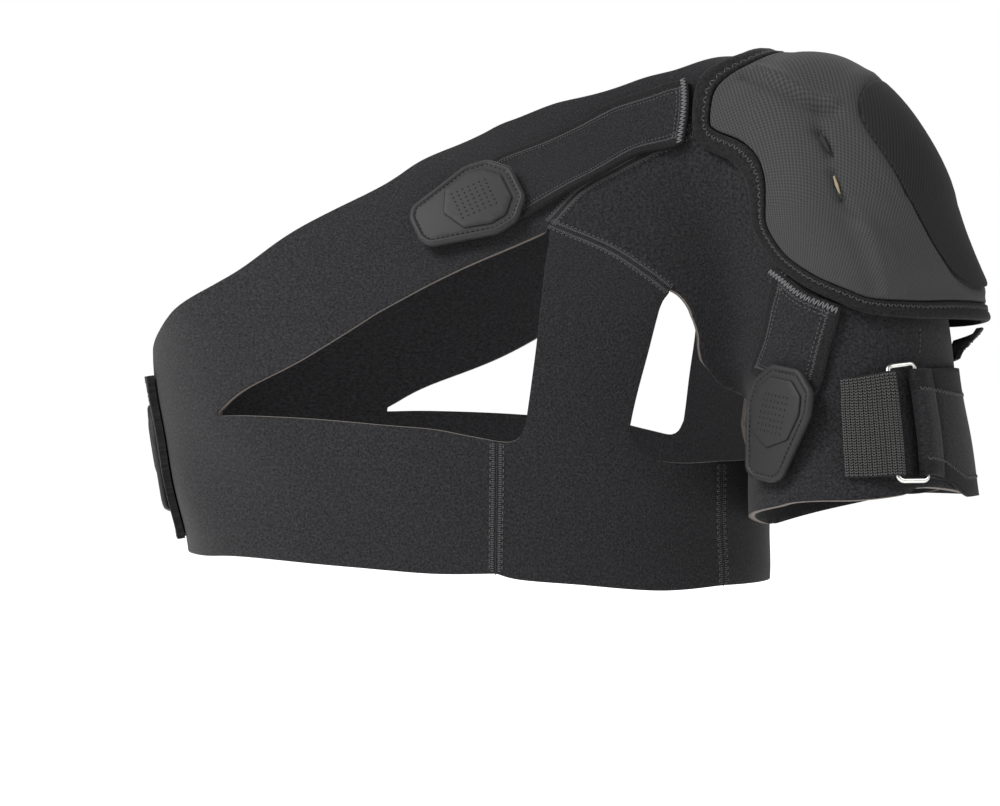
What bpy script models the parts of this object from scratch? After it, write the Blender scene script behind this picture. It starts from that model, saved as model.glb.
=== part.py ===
"""Shoulder brace in its worn form.

Every panel is drawn flat as an outline, cut to a lattice, and laid on one smooth form
of the wearer's chest, shoulder and upper arm.  The form itself is not part of the object.
Metres, +Z up, +X towards the wearer's left, -Y towards the wearer's front.
The origin is the shoulder seat: the top of the wearer's left shoulder.
"""

import bmesh
import bpy
import numpy as np
from mathutils import Vector

# driving sizes
BRACE_HEIGHT = 0.270        # shoulder top to the low edge of the chest band
MIDLINE_X = -0.130          # middle of the chest, from the shoulder seat
CHEST_HALF = 0.186          # half width of the chest at its widest
CHEST_DEPTH = 0.121         # half depth of the chest at its deepest
CHEST_CLOSE_Z = -0.130      # height where the chest walls begin to close in
CHEST_RISE = 0.112          # height of that closing dome
ARM_RADIUS = 0.0400         # upper arm at the shoulder
ARM_RADIUS_LOW = 0.0525     # upper arm at the cuff
ARM_DEEP = 1.15             # the arm is deeper than it is wide
YOKE_RADIUS = 0.0500        # roll of the shoulder at the neck
YOKE_RADIUS_OUTER = 0.0401  # roll of the shoulder near the arm

SKIN_GAP = 0.0005           # form to the inside of the cloth
NEOPRENE = 0.0030           # wall of the main panels
LAYER_GAP = 0.0009          # between one layer and the next
SEAM_GAP = 0.0008           # between panels that meet at a seam
STRAP = 0.0025              # wall of straps and flap
FLAP = 0.0034                # wall of the side closure
TAB = 0.0030                # base of a rubber tab
TAB_PLATEAU = 0.0015        # raised middle of a rubber tab
PAD = 0.0090                # moulded pad at its thickest
PAD_EDGE = 0.0050           # bound edge of the pad
BINDING_WIDTH = 0.0062      # width of the pad's binding
PAD_FLARE = 0.0160          # how far the pad's low rear corner stands off
LEAF = 0.0012               # smooth leaf set on the pad
LOOP_WIRE = 0.0013          # radius of the metal loop's wire
RIBBON = 0.0015             # wall of webbing and arm strap

PANEL_STEP = 0.0160         # lattice on the main panels
PAD_STEP = 0.0080           # lattice on the pad and straps
EDGE_STEP = 0.0140          # spacing of outline points

BODY_LIFT = (SKIN_GAP, SKIN_GAP + NEOPRENE)
OVER = BODY_LIFT[1] + LAYER_GAP
PAD_BASE = OVER + 0.0006
STRAP_LIFT = (OVER, OVER + STRAP)
FLAP_LIFT = (OVER + 0.0002, OVER + 0.0002 + FLAP)
TAB_LIFT = (STRAP_LIFT[1] + LAYER_GAP, STRAP_LIFT[1] + LAYER_GAP + TAB)

# the wearer's form: height as a share of BRACE_HEIGHT, half widths as shares of
# CHEST_HALF, half depth as a share of CHEST_DEPTH
CHEST_SECTIONS = (
    # height, right half, left half, half depth
    (-1.111, 0.860, 0.785, 0.893),
    (-0.963, 0.882, 0.796, 0.926),
    (-0.741, 0.946, 0.806, 0.975),
    (-0.533, 1.000, 0.849, 1.000),
    (-0.370, 1.000, 0.914, 1.000),
)
YOKE_INNER = np.array((MIDLINE_X + 0.045, 0.005, -0.030))
YOKE_OUTER = np.array((MIDLINE_X + 0.1676, 0.000, -0.0479))
ARM_TOP = np.array((MIDLINE_X + 0.1966, -0.004, -0.0789))
ARM_LOW = np.array((MIDLINE_X + 0.2125, -0.018, -0.225))
ARMPIT_Z = -0.185           # arm and chest part below this height
ARMPIT_RISE = 0.035         # height over which the fold before the armpit fills in
BLEND = 0.045

# the two charts that carry flat outlines onto the form
BODY_AXIS_X = MIDLINE_X + 0.045     # body chart: turn round this axis, then rise
BODY_DOME_Z = -0.130                # above this height the chart fans upward
BODY_DOME_R = 0.160                 # arc length per radian of the fan
BODY_TURN_R = 0.130                 # flat width per radian of turn
HINGE = np.array((MIDLINE_X + 0.133, 0.0, -0.175))   # sleeve chart: hinge at the armpit
HINGE_TO_AXIS = 0.072               # hinge to the bent axis of the sleeve
HINGE_R = 0.085                     # arc length per radian of the bend
SLEEVE_TURN_R = 0.060               # flat width per radian of turn

# outlines: turn in degrees, rise or length along the sleeve as shares of BRACE_HEIGHT
HARNESS_UPPER = (
    # turn, rise
    (-90.0, -0.111),
    (-83.0, -0.072),
    (-73.2, -0.026),
    (-67.7, 0.005),
    (-57.5, 0.054),
    (-49.3, 0.111),
    (-37.4, 0.227),
    (-28.5, 0.311),
    (-22.9, 0.402),
    (-12.5, 0.521),
    (-2.5, 0.585),
    (20.1, 0.642),
    (54.2, 0.632),
    (70.1, 0.595),
    (82.4, 0.568),
    (90.0, 0.530),
)

HARNESS_SEAM = (
    # turn, rise
    (90.0, 0.407),
    (72.0, 0.441),
    (52.0, 0.448),
    (38.0, 0.411),
    (27.3, 0.350),
    (18.2, 0.243),
)

HARNESS_INNER = (
    # turn, rise
    (17.0, 0.218),
    (1.0, 0.135),
    (-8.2, 0.084),
    (-20.9, 0.013),
    (-37.7, -0.077),
    (-50.8, -0.137),
    (-57.1, -0.180),
)

BAND_TOP = (
    # turn, rise
    (-57.2, -0.188),
    (-50.5, -0.187),
    (-37.6, -0.192),
    (-21.8, -0.202),
    (-10.6, -0.209),
    (-2.1, -0.221),
    (5.1, -0.231),
)

BAND_LOW = (
    # turn, rise
    (3.8, -0.474),
    (-12.7, -0.476),
    (-32.8, -0.466),
    (-55.9, -0.456),
    (-67.4, -0.460),
    (-80.0, -0.459),
    (-90.0, -0.456),
)

PANEL_CORNER = (
    # turn, rise
    (5.1, -0.231),
    (8.3, -0.232),
    (10.6, -0.224),
    (12.2, -0.204),
)

PANEL_INNER = (
    # turn, rise
    (12.2, -0.204),
    (13.8, -0.128),
    (15.5, -0.039),
    (16.5, 0.036),
    (17.3, 0.127),
    (18.2, 0.192),
)

ARC_SEAM = (
    # turn, rise
    (18.2, 0.243),
    (33.9, 0.175),
    (43.9, 0.107),
    (49.5, 0.063),
)

ARMPIT_EDGE = (
    # turn, rise
    (49.4, 0.055),
    (47.1, 0.022),
    (44.1, -0.071),
    (40.3, -0.194),
    (40.1, -0.214),
    (42.2, -0.243),
    (47.0, -0.264),
    (56.3, -0.272),
    (69.5, -0.270),
)

PANEL_LOW = (
    # turn, rise
    (71.1, -0.502),
    (50.0, -0.508),
    (25.4, -0.494),
    (10.1, -0.485),
    (3.8, -0.474),
)

SLEEVE_LOW = (
    # turn, along
    (-90.0, -0.222),
    (-81.1, -0.222),
    (-22.7, -0.188),
    (-8.8, -0.176),
    (1.6, -0.172),
    (16.3, -0.170),
    (34.1, -0.160),
    (44.2, -0.148),
    (90.0, -0.167),
)

ARMHOLE = (
    # turn, along
    (-90.0, -0.033),
    (-78.0, -0.024),
    (-68.0, 0.010),
    (-60.5, 0.080),
    (-55.5, 0.165),
    (-51.7, 0.240),
    (-45.4, 0.333),
    (-40.9, 0.393),
    (-36.5, 0.421),
    (-31.2, 0.434),
    (-20.5, 0.468),
    (-13.0, 0.503),
)



PAD_OUTLINE = (
    # turn, along
    (90.0, 0.460),
    (81.0, 0.469),
    (75.0, 0.484),
    (70.0, 0.495),
    (63.0, 0.498),
    (52.5, 0.484),
    (46.9, 0.429),
    (39.5, 0.393),
    (23.8, 0.357),
    (15.0, 0.292),
    (15.4, 0.221),
    (22.6, 0.165),
    (31.9, 0.133),
    (51.6, 0.113),
    (74.0, 0.106),
    (90.0, 0.104),
)

LEAF_OUTLINE = (
    # turn, along
    (90.0, 0.352),
    (80.0, 0.349),
    (72.0, 0.337),
    (67.5, 0.315),
    (66.0, 0.285),
    (66.5, 0.245),
    (68.5, 0.200),
    (74.0, 0.163),
    (83.0, 0.147),
    (90.0, 0.144),
)

UPPER_STRAP = (
    # turn, rise
    (-5.8, 0.316),
    (-0.0, 0.439),
    (20.5, 0.544),
    (42.2, 0.594),
    (60.1, 0.574),
    (67.9, 0.548),
)

UPPER_STRAP_LOW = (
    # turn, rise
    (61.3, 0.430),
    (46.1, 0.443),
    (28.2, 0.365),
    (10.9, 0.248),
    (2.7, 0.210),
)

LOWER_STRAP = (
    # turn, along
    (12.6, 0.294),
    (-10.0, 0.236),
    (-31.0, 0.139),
)

LOWER_STRAP_EDGE = (
    # turn, along
    (-5.3, -0.011),
    (2.4, 0.022),
    (10.2, 0.102),
    (21.5, 0.163),
)

LOWER_STRAP_TOP = (
    # turn, along
    (21.5, 0.163),
    (13.8, 0.218),
    (12.6, 0.294),
)

FLAP_FRONT = (
    # turn, rise
    (-76.5, -0.110),
    (-76.0, -0.270),
    (-75.5, -0.430),
)

FLAP_BACK = (
    # turn, rise
    (-104.0, -0.430),
    (-104.0, -0.110),
)

REAR_STRAP = (
    # turn, along
    (98.0, 0.0965),
    (134.0, 0.0965),
)
REAR_STRAP_LOW = (
    # turn, along
    (131.0, 0.060),
    (101.0, 0.060),
)
REAR_STRAP_END = 0.0162

# pull tab: half width and length as shares of TAB_WIDTH and TAB_LENGTH
TAB_WIDTH = 0.0440
TAB_LENGTH = 0.0570
TAB_OUTLINE = (
    # half width, along
    (0.22, -0.500),
    (0.46, -0.340),
    (0.50, -0.130),
    (0.29, 0.440),
    (0.16, 0.500),
)

# arm strap hardware, in the sleeve chart
BAR_LEFT = 30.0             # turn of the loop's front bar
BAR_RIGHT = 42.0            # turn of the loop's rear bar
LOOP_LOW = -0.0374
LOOP_HIGH = 0.0146
WEB_LIFT = OVER + RIBBON / 2.0
LOOP_LIFT = OVER + RIBBON + 0.0003 + LOOP_WIRE
FOLD_R = LOOP_WIRE + 0.0003 + RIBBON / 2.0
FOLD_PATH = (
    # distance behind the bar, lift
    (-0.0030, WEB_LIFT),
    (0.0, WEB_LIFT),
    (FOLD_R * 0.71, LOOP_LIFT - FOLD_R * 0.71),
    (FOLD_R, LOOP_LIFT),
    (FOLD_R * 0.71, LOOP_LIFT + FOLD_R * 0.71),
    (0.0, LOOP_LIFT + FOLD_R),
    (-0.0030, LOOP_LIFT + FOLD_R - 0.0006),
    (-0.0070, LOOP_LIFT + FOLD_R - 0.0026),
    (-0.0110, WEB_LIFT + 0.0006),
    (-0.0150, WEB_LIFT),
)

# pull tabs: flat centre, then a flat point towards the free end
CHEST_TAB = ((-0.0098, 0.0712), (-0.0229, 0.0604))
ARM_TAB = ((-0.0136, -0.0098), (-0.0170, -0.0248))
SIDE_TAB = ((-0.1895, -0.0735), (-0.1883, -0.0935))




def smooth_step(t):
    """Ease from 0 to 1."""
    t = np.clip(t, 0.0, 1.0)
    return t * t * (3.0 - 2.0 * t)


def blend_min(a, b, k):
    """Smallest of two distances with a rounded valley of width k."""
    h = np.clip(0.5 + 0.5 * (b - a) / k, 0.0, 1.0)
    return b * (1.0 - h) + a * h - k * h * (1.0 - h)


def section_value(z, column, size):
    """Read one column of CHEST_SECTIONS at height z, as a smooth curve."""
    heights = np.array([row[0] * BRACE_HEIGHT for row in CHEST_SECTIONS])
    values = np.array([row[column] * size for row in CHEST_SECTIONS])
    slopes = np.gradient(values, heights)
    z = np.clip(z, heights[0], heights[-1])
    i = np.clip(np.searchsorted(heights, z) - 1, 0, len(heights) - 2)
    gap = heights[i + 1] - heights[i]
    t = (z - heights[i]) / gap
    start = (2 * t ** 3 - 3 * t ** 2 + 1) * values[i] + (t ** 3 - 2 * t ** 2 + t) * gap * slopes[i]
    end = (3 * t ** 2 - 2 * t ** 3) * values[i + 1] + (t ** 3 - t ** 2) * gap * slopes[i + 1]
    return start + end


def chest_distance(p):
    """Signed distance to the chest: elliptic walls closed by a dome."""
    x = p[..., 0] - MIDLINE_X
    y = p[..., 1]
    z = p[..., 2]
    low = np.minimum(z, CHEST_CLOSE_Z)
    right = section_value(low, 1, CHEST_HALF)
    left = section_value(low, 2, CHEST_HALF)
    half = np.where(x < 0.0, right, left)
    depth = section_value(low, 3, CHEST_DEPTH)
    rise = np.maximum(z - CHEST_CLOSE_Z, 0.0) / CHEST_RISE
    k0 = np.sqrt((x / half) ** 2 + (y / depth) ** 2 + rise ** 2)
    k1 = np.sqrt((x / half ** 2) ** 2 + (y / depth ** 2) ** 2 + (rise / CHEST_RISE) ** 2)
    return k0 * (k0 - 1.0) / np.maximum(k1, 1e-9)


def cone_distance(p, start, start_radius, end, end_radius, reach):
    """Signed distance to a round-ended tapered limb."""
    along = end - start
    t = np.clip(((p - start) @ along) / (along @ along), 0.0, reach)
    centre = start + t[..., None] * along
    return np.linalg.norm(p - centre, axis=-1) - (start_radius + (end_radius - start_radius) * t)


def form_distance(p):
    """Signed distance to the wearer: chest, shoulder roll and upper arm in one."""
    yoke = cone_distance(p, YOKE_INNER, YOKE_RADIUS, YOKE_OUTER, YOKE_RADIUS_OUTER, 1.0)
    torso = blend_min(chest_distance(p), yoke, BLEND)
    squash = np.array((1.0, 1.0 / ARM_DEEP, 1.0))
    arm = cone_distance(p * squash, ARM_TOP * squash, ARM_RADIUS, ARM_LOW * squash, ARM_RADIUS_LOW, 1.4)
    joined = 0.001 + (BLEND - 0.001) * smooth_step((p[..., 2] - ARMPIT_Z) / ARMPIT_RISE)
    return blend_min(torso, arm, joined)


def form_normal(p):
    """Outward direction of the form at p."""
    step = 1e-5
    slope = np.zeros_like(p)
    for axis in range(3):
        shift = np.zeros(3)
        shift[axis] = step
        slope[..., axis] = form_distance(p + shift) - form_distance(p - shift)
    return slope / np.linalg.norm(slope, axis=-1, keepdims=True)


def to_form(start, direction):
    """Walk from inside the wearer until the skin is met."""
    t = np.full(start.shape[:-1], 0.02)
    for _ in range(70):
        t = t - 0.75 * form_distance(start + direction * t[..., None])
    return start + direction * t[..., None]


def body_chart(flat):
    """Flat (width, rise, lift) of a chest panel onto the wearer."""
    turn = flat[:, 0] / BODY_TURN_R
    rise = flat[:, 1]
    tilt = np.maximum(rise, 0.0) / BODY_DOME_R
    start = np.stack((
        np.full_like(rise, BODY_AXIS_X),
        np.zeros_like(rise),
        BODY_DOME_Z + np.minimum(rise, 0.0),
    ), axis=-1)
    direction = np.stack((
        np.sin(turn) * np.cos(tilt),
        -np.cos(turn) * np.cos(tilt),
        np.sin(tilt),
    ), axis=-1)
    skin = to_form(start, direction)
    return skin + form_normal(skin) * flat[:, 2:3]


def sleeve_chart(flat):
    """Flat (width, length, lift) of a sleeve panel onto arm and shoulder."""
    turn = flat[:, 0] / SLEEVE_TURN_R
    along = flat[:, 1]
    quarter = HINGE_R * np.pi / 2.0
    bend = np.clip(along, 0.0, quarter) / HINGE_R
    out = np.stack((np.cos(bend), np.zeros_like(bend), np.sin(bend)), axis=-1)
    low = np.minimum(along, 0.0)[:, None]
    arm_slope = (ARM_LOW - ARM_TOP) / (ARM_TOP[2] - ARM_LOW[2])
    start = HINGE + out * HINGE_TO_AXIS
    start = start - low * arm_slope * np.array((1.0, 1.0, 0.0))
    start = start + low * np.array((0.0, 0.0, 1.0))
    start = start - np.maximum(along - quarter, 0.0)[:, None] * np.array((1.0, 0.0, 0.0))
    front = np.array((0.0, -1.0, 0.0))
    direction = front * np.cos(turn)[:, None] + out * np.sin(turn)[:, None]
    skin = to_form(start, direction)
    return skin + form_normal(skin) * flat[:, 2:3]


def rows_to_flat(rows, turn_radius):
    """Table rows to flat metres."""
    return [np.array((np.radians(turn) * turn_radius, share * BRACE_HEIGHT)) for turn, share in rows]


def mirrored(rows, middle=180.0):
    """The same edge on the wearer's back, read the other way round."""
    return tuple((middle - turn, share) for turn, share in reversed(rows))


def smooth_edge(points, step):
    """Points along a smooth curve through the given ones, ends kept."""
    if len(points) < 3:
        knots = [points[0], points[0], points[-1], points[-1]]
    else:
        knots = [2 * points[0] - points[1]] + list(points) + [2 * points[-1] - points[-2]]
    result = []
    for i in range(1, len(knots) - 2):
        p0, p1, p2, p3 = knots[i - 1], knots[i], knots[i + 1], knots[i + 2]
        count = max(1, int(round(np.linalg.norm(p2 - p1) / step)))
        for j in range(count):
            t = j / count
            cubic = (2 * p1 + (p2 - p0) * t + (2 * p0 - 5 * p1 + 4 * p2 - p3) * t ** 2
                     + (3 * p1 - p0 - 3 * p2 + p3) * t ** 3)
            result.append(cubic * 0.5)
    result.append(np.array(points[-1]))
    return result


def shrink(loop, distance):
    """Move a counter-clockwise outline inward by a distance."""
    result = []
    count = len(loop)
    for i, point in enumerate(loop):
        before = point - loop[i - 1]
        after = loop[(i + 1) % count] - point
        before = before / np.linalg.norm(before)
        after = after / np.linalg.norm(after)
        inward = np.array((-before[1] - after[1], before[0] + after[0]))
        length = max(np.linalg.norm(inward), 0.6)
        scale = 2.0 * distance / (length * length)
        result.append(point + inward * scale)
    return result


def slab(loop, low, high, hole=None):
    """A flat sheet of the outline's shape; hole is a second outline cut through it."""
    bm = bmesh.new()
    outer = [bm.verts.new((x, y, low)) for x, y in loop]
    for a, b in zip(outer, outer[1:] + outer[:1]):
        bm.edges.new((a, b))
    if hole is None:
        bm.faces.new(outer)
    else:
        inner = [bm.verts.new((x, y, low)) for x, y in hole]
        for a, b in zip(inner, inner[1:] + inner[:1]):
            bm.edges.new((a, b))
        bmesh.ops.bridge_loops(bm, edges=bm.edges[:])
    bmesh.ops.recalc_face_normals(bm, faces=bm.faces[:])
    for face in bm.faces:
        if face.normal.z > 0.0:
            face.normal_flip()
    raised = bmesh.ops.extrude_face_region(bm, geom=bm.faces[:], use_keep_orig=True)
    for item in raised["geom"]:
        if isinstance(item, bmesh.types.BMVert):
            item.co.z = high
    bmesh.ops.recalc_face_normals(bm, faces=bm.faces[:])
    return bm


def lattice(bm, step):
    """Cut every face along a square lattice of the given step."""
    for axis in range(2):
        values = [v.co[axis] for v in bm.verts]
        normal = Vector((1.0, 0.0, 0.0)) if axis == 0 else Vector((0.0, 1.0, 0.0))
        first = int(np.floor(min(values) / step)) + 1
        last = int(np.ceil(max(values) / step))
        for k in range(first, last):
            geometry = bm.verts[:] + bm.edges[:] + bm.faces[:]
            bmesh.ops.bisect_plane(bm, geom=geometry, dist=1e-6, plane_co=normal * (k * step), plane_no=normal)


def soften(bm, width, high):
    """Bevel the top rim of a flat slab."""
    rim = [e for e in bm.edges if e.is_manifold and all(v.co.z > high - 1e-7 for v in e.verts)
           and any(abs(f.normal.z) < 0.5 for f in e.link_faces)]
    bmesh.ops.bevel(bm, geom=rim, offset=width, segments=2, profile=0.5, affect="EDGES", material=-1)


def lay(bm, chart, lift=None):
    """Carry a flat slab onto the form."""
    bmesh.ops.remove_doubles(bm, verts=bm.verts[:], dist=2e-5)
    bmesh.ops.triangulate(bm, faces=bm.faces[:])
    flat = np.array([v.co[:] for v in bm.verts])
    if lift is not None:
        flat[:, 2] = lift(flat)
    placed = chart(flat)
    for vert, point in zip(bm.verts, placed):
        vert.co = point


def add_node(name, bm, material):
    """Finish a mesh as one named node."""
    bmesh.ops.remove_doubles(bm, verts=bm.verts[:], dist=2e-5)
    bmesh.ops.recalc_face_normals(bm, faces=bm.faces[:])
    if bm.calc_volume(signed=True) < 0.0:
        bmesh.ops.reverse_faces(bm, faces=bm.faces[:])
    mesh = bpy.data.meshes.new(name)
    bm.to_mesh(mesh)
    bm.free()
    mesh.materials.append(material)
    item = bpy.data.objects.new(name, mesh)
    brace.objects.link(item)
    return item


def make_material(name, colour, roughness, metallic=0.0):
    """One Principled material."""
    material = bpy.data.materials.new(name)
    material.use_nodes = True
    shader = material.node_tree.nodes["Principled BSDF"]
    shader.inputs["Base Color"].default_value = (*colour, 1.0)
    shader.inputs["Roughness"].default_value = roughness
    shader.inputs["Metallic"].default_value = metallic
    return material


def panel(name, loop, lifts, chart, step, material, rim=0.0):
    """Outline to finished node."""
    bm = slab(shrink(loop, SEAM_GAP / 2.0), *lifts)
    if rim > 0.0:
        soften(bm, rim, lifts[1])
    lattice(bm, step)
    lay(bm, chart)
    return add_node(name, bm, material)


def edge(rows, turn_radius):
    """One table as smooth flat points."""
    return smooth_edge(rows_to_flat(rows, turn_radius), EDGE_STEP)


def to_sleeve(points):
    """Flat points of the body chart as flat points of the sleeve chart."""
    flat = np.array([(x, y, 0.0) for x, y in points])
    p = body_chart(flat)
    x = p[:, 0] - HINGE[0]
    z = p[:, 2] - HINGE[2]
    quarter = HINGE_R * np.pi / 2.0
    bend = np.clip(np.arctan2(z, x), 0.0, np.pi / 2.0)
    along = np.where(z < 0.0, z, np.where(x < 0.0, quarter - x, bend * HINGE_R))
    out = np.stack((np.cos(bend), np.zeros_like(bend), np.sin(bend)), axis=-1)
    centre = HINGE + out * HINGE_TO_AXIS
    centre = centre - np.maximum(along - quarter, 0.0)[:, None] * np.array((1.0, 0.0, 0.0))
    offset = p - centre
    turn = np.arctan2((offset * out).sum(axis=-1), -offset[:, 1])
    turn = np.where(turn < -np.pi / 2.0, turn + 2.0 * np.pi, turn)
    return [np.array((a * SLEEVE_TURN_R, b)) for a, b in zip(turn, along)]


def flipped(rows):
    """The same edge on the wearer's back, read the same way round."""
    return tuple((180.0 - turn, share) for turn, share in rows)


def join(pieces):
    """Chain point lists into one closed counter-clockwise outline."""
    loop = []
    for piece in pieces:
        for point in piece:
            if not loop or np.linalg.norm(point - loop[-1]) > 1e-3:
                loop.append(point)
    while np.linalg.norm(loop[0] - loop[-1]) < 1e-3:
        loop.pop()
    area = sum(a[0] * b[1] - b[0] * a[1] for a, b in zip(loop, loop[1:] + loop[:1]))
    if area < 0.0:
        loop.reverse()
    return loop


def sleeve_node():
    """Sleeve: one sheet over the shoulder that closes into a cuff below the armpit."""
    pieces = [
        edge(SLEEVE_LOW, SLEEVE_TURN_R),
        edge(mirrored(SLEEVE_LOW), SLEEVE_TURN_R),
        edge(flipped(ARMHOLE), SLEEVE_TURN_R),
        to_sleeve(edge(flipped(ARC_SEAM), BODY_TURN_R)[::-1]),
        to_sleeve(edge(flipped(HARNESS_SEAM), BODY_TURN_R)[::-1]),
        to_sleeve(edge(HARNESS_SEAM, BODY_TURN_R)),
        to_sleeve(edge(ARC_SEAM, BODY_TURN_R)),
        edge(ARMHOLE[::-1], SLEEVE_TURN_R),
    ]
    loop = join(pieces)
    start = -np.pi / 2.0 * SLEEVE_TURN_R
    finish = 3.0 * np.pi / 2.0 * SLEEVE_TURN_R
    tight = shrink(loop, SEAM_GAP / 2.0)
    for before, after in zip(loop, tight):
        if abs(before[0] - start) < 1e-6:
            after[0] = start
        if abs(before[0] - finish) < 1e-6:
            after[0] = finish
    bm = slab(tight, *BODY_LIFT)
    lattice(bm, PANEL_STEP)
    ends = [f for f in bm.faces
            if all(abs(v.co.x - start) < 1e-6 for v in f.verts)
            or all(abs(v.co.x - finish) < 1e-6 for v in f.verts)]
    bmesh.ops.delete(bm, geom=ends, context="FACES_ONLY")
    lay(bm, sleeve_chart)
    return add_node("shoulder_sleeve", bm, neoprene)


def pad_flare(flat):
    """How far the pad stands off near its low rear corner."""
    turn = np.degrees(flat[:, 0] / SLEEVE_TURN_R)
    round_arm = np.exp(-((turn - 112.0) / 38.0) ** 2)
    low = smooth_step((0.085 - flat[:, 1]) / 0.060)
    return flat[:, 2] + PAD_FLARE * round_arm * low


def strap_flare(flat):
    """Rear strap: from the pad's stand-off down to the sleeve."""
    turn = np.degrees(flat[:, 0] / SLEEVE_TURN_R)
    round_arm = np.exp(-((turn - 112.0) / 38.0) ** 2)
    low = smooth_step((flat[:, 1] - REAR_STRAP_END) / (0.028 - REAR_STRAP_END))
    return flat[:, 2] + PAD_FLARE * round_arm * low * 0.94


def ribbon_node(name, path, bar_turn, side, low, high, width_of, material):
    """Webbing folded round one bar of the loop: path is (distance from bar, lift)."""
    centre = smooth_edge([np.array(point) for point in path], 0.007)
    left = []
    right = []
    for i, point in enumerate(centre):
        before = centre[max(i - 1, 0)]
        after = centre[min(i + 1, len(centre) - 1)]
        along = (after - before) / np.linalg.norm(after - before)
        across = np.array((-along[1], along[0])) * RIBBON / 2.0
        left.append(point + across)
        right.append(point - across)
    ring = left + right[::-1]
    bm = bmesh.new()
    bar = np.radians(bar_turn) * SLEEVE_TURN_R
    verts = [bm.verts.new((bar + side * x, low, z)) for x, z in ring]
    face = bm.faces.new(verts)
    made = bmesh.ops.extrude_face_region(bm, geom=[face], use_keep_orig=True)
    for item in made["geom"]:
        if isinstance(item, bmesh.types.BMVert):
            item.co.y = high
    lattice(bm, PANEL_STEP)
    bmesh.ops.triangulate(bm, faces=bm.faces[:])
    flat = np.array([v.co[:] for v in bm.verts])
    share = (high - flat[:, 1]) / (high - low)
    flat[:, 1] = flat[:, 1] - share * width_of(np.degrees(flat[:, 0] / SLEEVE_TURN_R))
    for vert, point in zip(bm.verts, sleeve_chart(flat)):
        vert.co = point
    return add_node(name, bm, material)


def loop_node():
    """Metal loop: a rounded rectangle of wire lying on the arm."""
    left = np.radians(BAR_LEFT) * SLEEVE_TURN_R
    right = np.radians(BAR_RIGHT) * SLEEVE_TURN_R
    corner = 0.0016
    knots = []
    for x, y, sx, sy in ((left, LOOP_LOW, 1, 1), (left, LOOP_HIGH, 1, -1),
                         (right, LOOP_HIGH, -1, -1), (right, LOOP_LOW, -1, 1)):
        bend = [(x, y + sy * corner), (x + sx * corner * 0.3, y + sy * corner * 0.3), (x + sx * corner, y)]
        if sx == sy:
            bend.reverse()
        knots.extend(bend)
    curve = bpy.data.curves.new("loop_path", "CURVE")
    curve.dimensions = "3D"
    curve.bevel_depth = LOOP_WIRE
    curve.bevel_resolution = 2
    dense = []
    for a, b in zip(knots, knots[1:] + knots[:1]):
        a = np.array(a)
        b = np.array(b)
        count = max(1, int(round(np.linalg.norm(b - a) / 0.008)))
        dense.extend(a + (b - a) * j / count for j in range(count))
    spline = curve.splines.new("POLY")
    spline.points.add(len(dense) - 1)
    for point, (x, y) in zip(spline.points, dense):
        point.co = (x, y, LOOP_LIFT, 1.0)
    spline.use_cyclic_u = True
    helper = bpy.data.objects.new("loop_path", curve)
    mesh = bpy.data.meshes.new_from_object(helper)
    bpy.data.objects.remove(helper)
    bm = bmesh.new()
    bm.from_mesh(mesh)
    lay(bm, sleeve_chart)
    return add_node("strap_loop", bm, steel)


def tab_node(name, chart, frame, lift, bend_radius, long_radius):
    """Rubber pull tab: coffin-shaped plate with a raised middle, bent once."""
    half = [np.array(row) for row in TAB_OUTLINE]
    ring = half + [row * np.array((-1.0, 1.0)) for row in half[::-1]]
    bm = bmesh.new()
    face = bm.faces.new([bm.verts.new((x * TAB_WIDTH, y * TAB_LENGTH, 0.0)) for x, y in ring])
    corners = bm.verts[:]
    bmesh.ops.bevel(bm, geom=corners, offset=0.0024, segments=2, profile=0.5, affect="VERTICES", material=-1)
    face = max(bm.faces, key=lambda f: f.calc_area())
    if face.normal.z < 0.0:
        face.normal_flip()
    made = bmesh.ops.extrude_face_region(bm, geom=[face], use_keep_orig=True)
    top = [g for g in made["geom"] if isinstance(g, bmesh.types.BMFace)][0]
    for vert in top.verts:
        vert.co.z = TAB
    bmesh.ops.recalc_face_normals(bm, faces=bm.faces[:])
    bmesh.ops.inset_region(bm, faces=[top], thickness=0.0065, depth=0.0)
    bmesh.ops.inset_region(bm, faces=[top], thickness=0.0020, depth=TAB_PLATEAU)
    lattice(bm, PANEL_STEP)
    bmesh.ops.triangulate(bm, faces=bm.faces[:])
    place = chart(np.array([(*frame[0], lift), (*frame[1], lift)]))
    normal = form_normal(place[:1])[0]
    along = place[1] - place[0]
    along = along - normal * (along @ normal)
    along = along / np.linalg.norm(along)
    across = np.cross(along, normal)
    for vert in bm.verts:
        drop = vert.co.x ** 2 / (2.0 * bend_radius) + vert.co.y ** 2 / (2.0 * long_radius)
        vert.co = place[0] + across * vert.co.x + along * vert.co.y + normal * (vert.co.z - drop)
    return add_node(name, bm, rubber)


for old in list(bpy.data.objects):
    bpy.data.objects.remove(old, do_unlink=True)

brace = bpy.data.collections.new("shoulder_brace")
bpy.context.scene.collection.children.link(brace)

neoprene = make_material("neoprene", (0.018, 0.018, 0.020), 0.85)
pad_cloth = make_material("pad_mesh", (0.045, 0.045, 0.048), 0.80)
binding_cloth = make_material("binding_tape", (0.014, 0.014, 0.015), 0.80)
leaf_sheet = make_material("pad_leaf_sheet", (0.012, 0.012, 0.013), 0.55)
rubber = make_material("tab_rubber", (0.038, 0.039, 0.040), 0.60)
elastic = make_material("webbing", (0.030, 0.030, 0.033), 0.85)
steel = make_material("loop_metal", (0.60, 0.60, 0.58), 0.30, 1.0)

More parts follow.
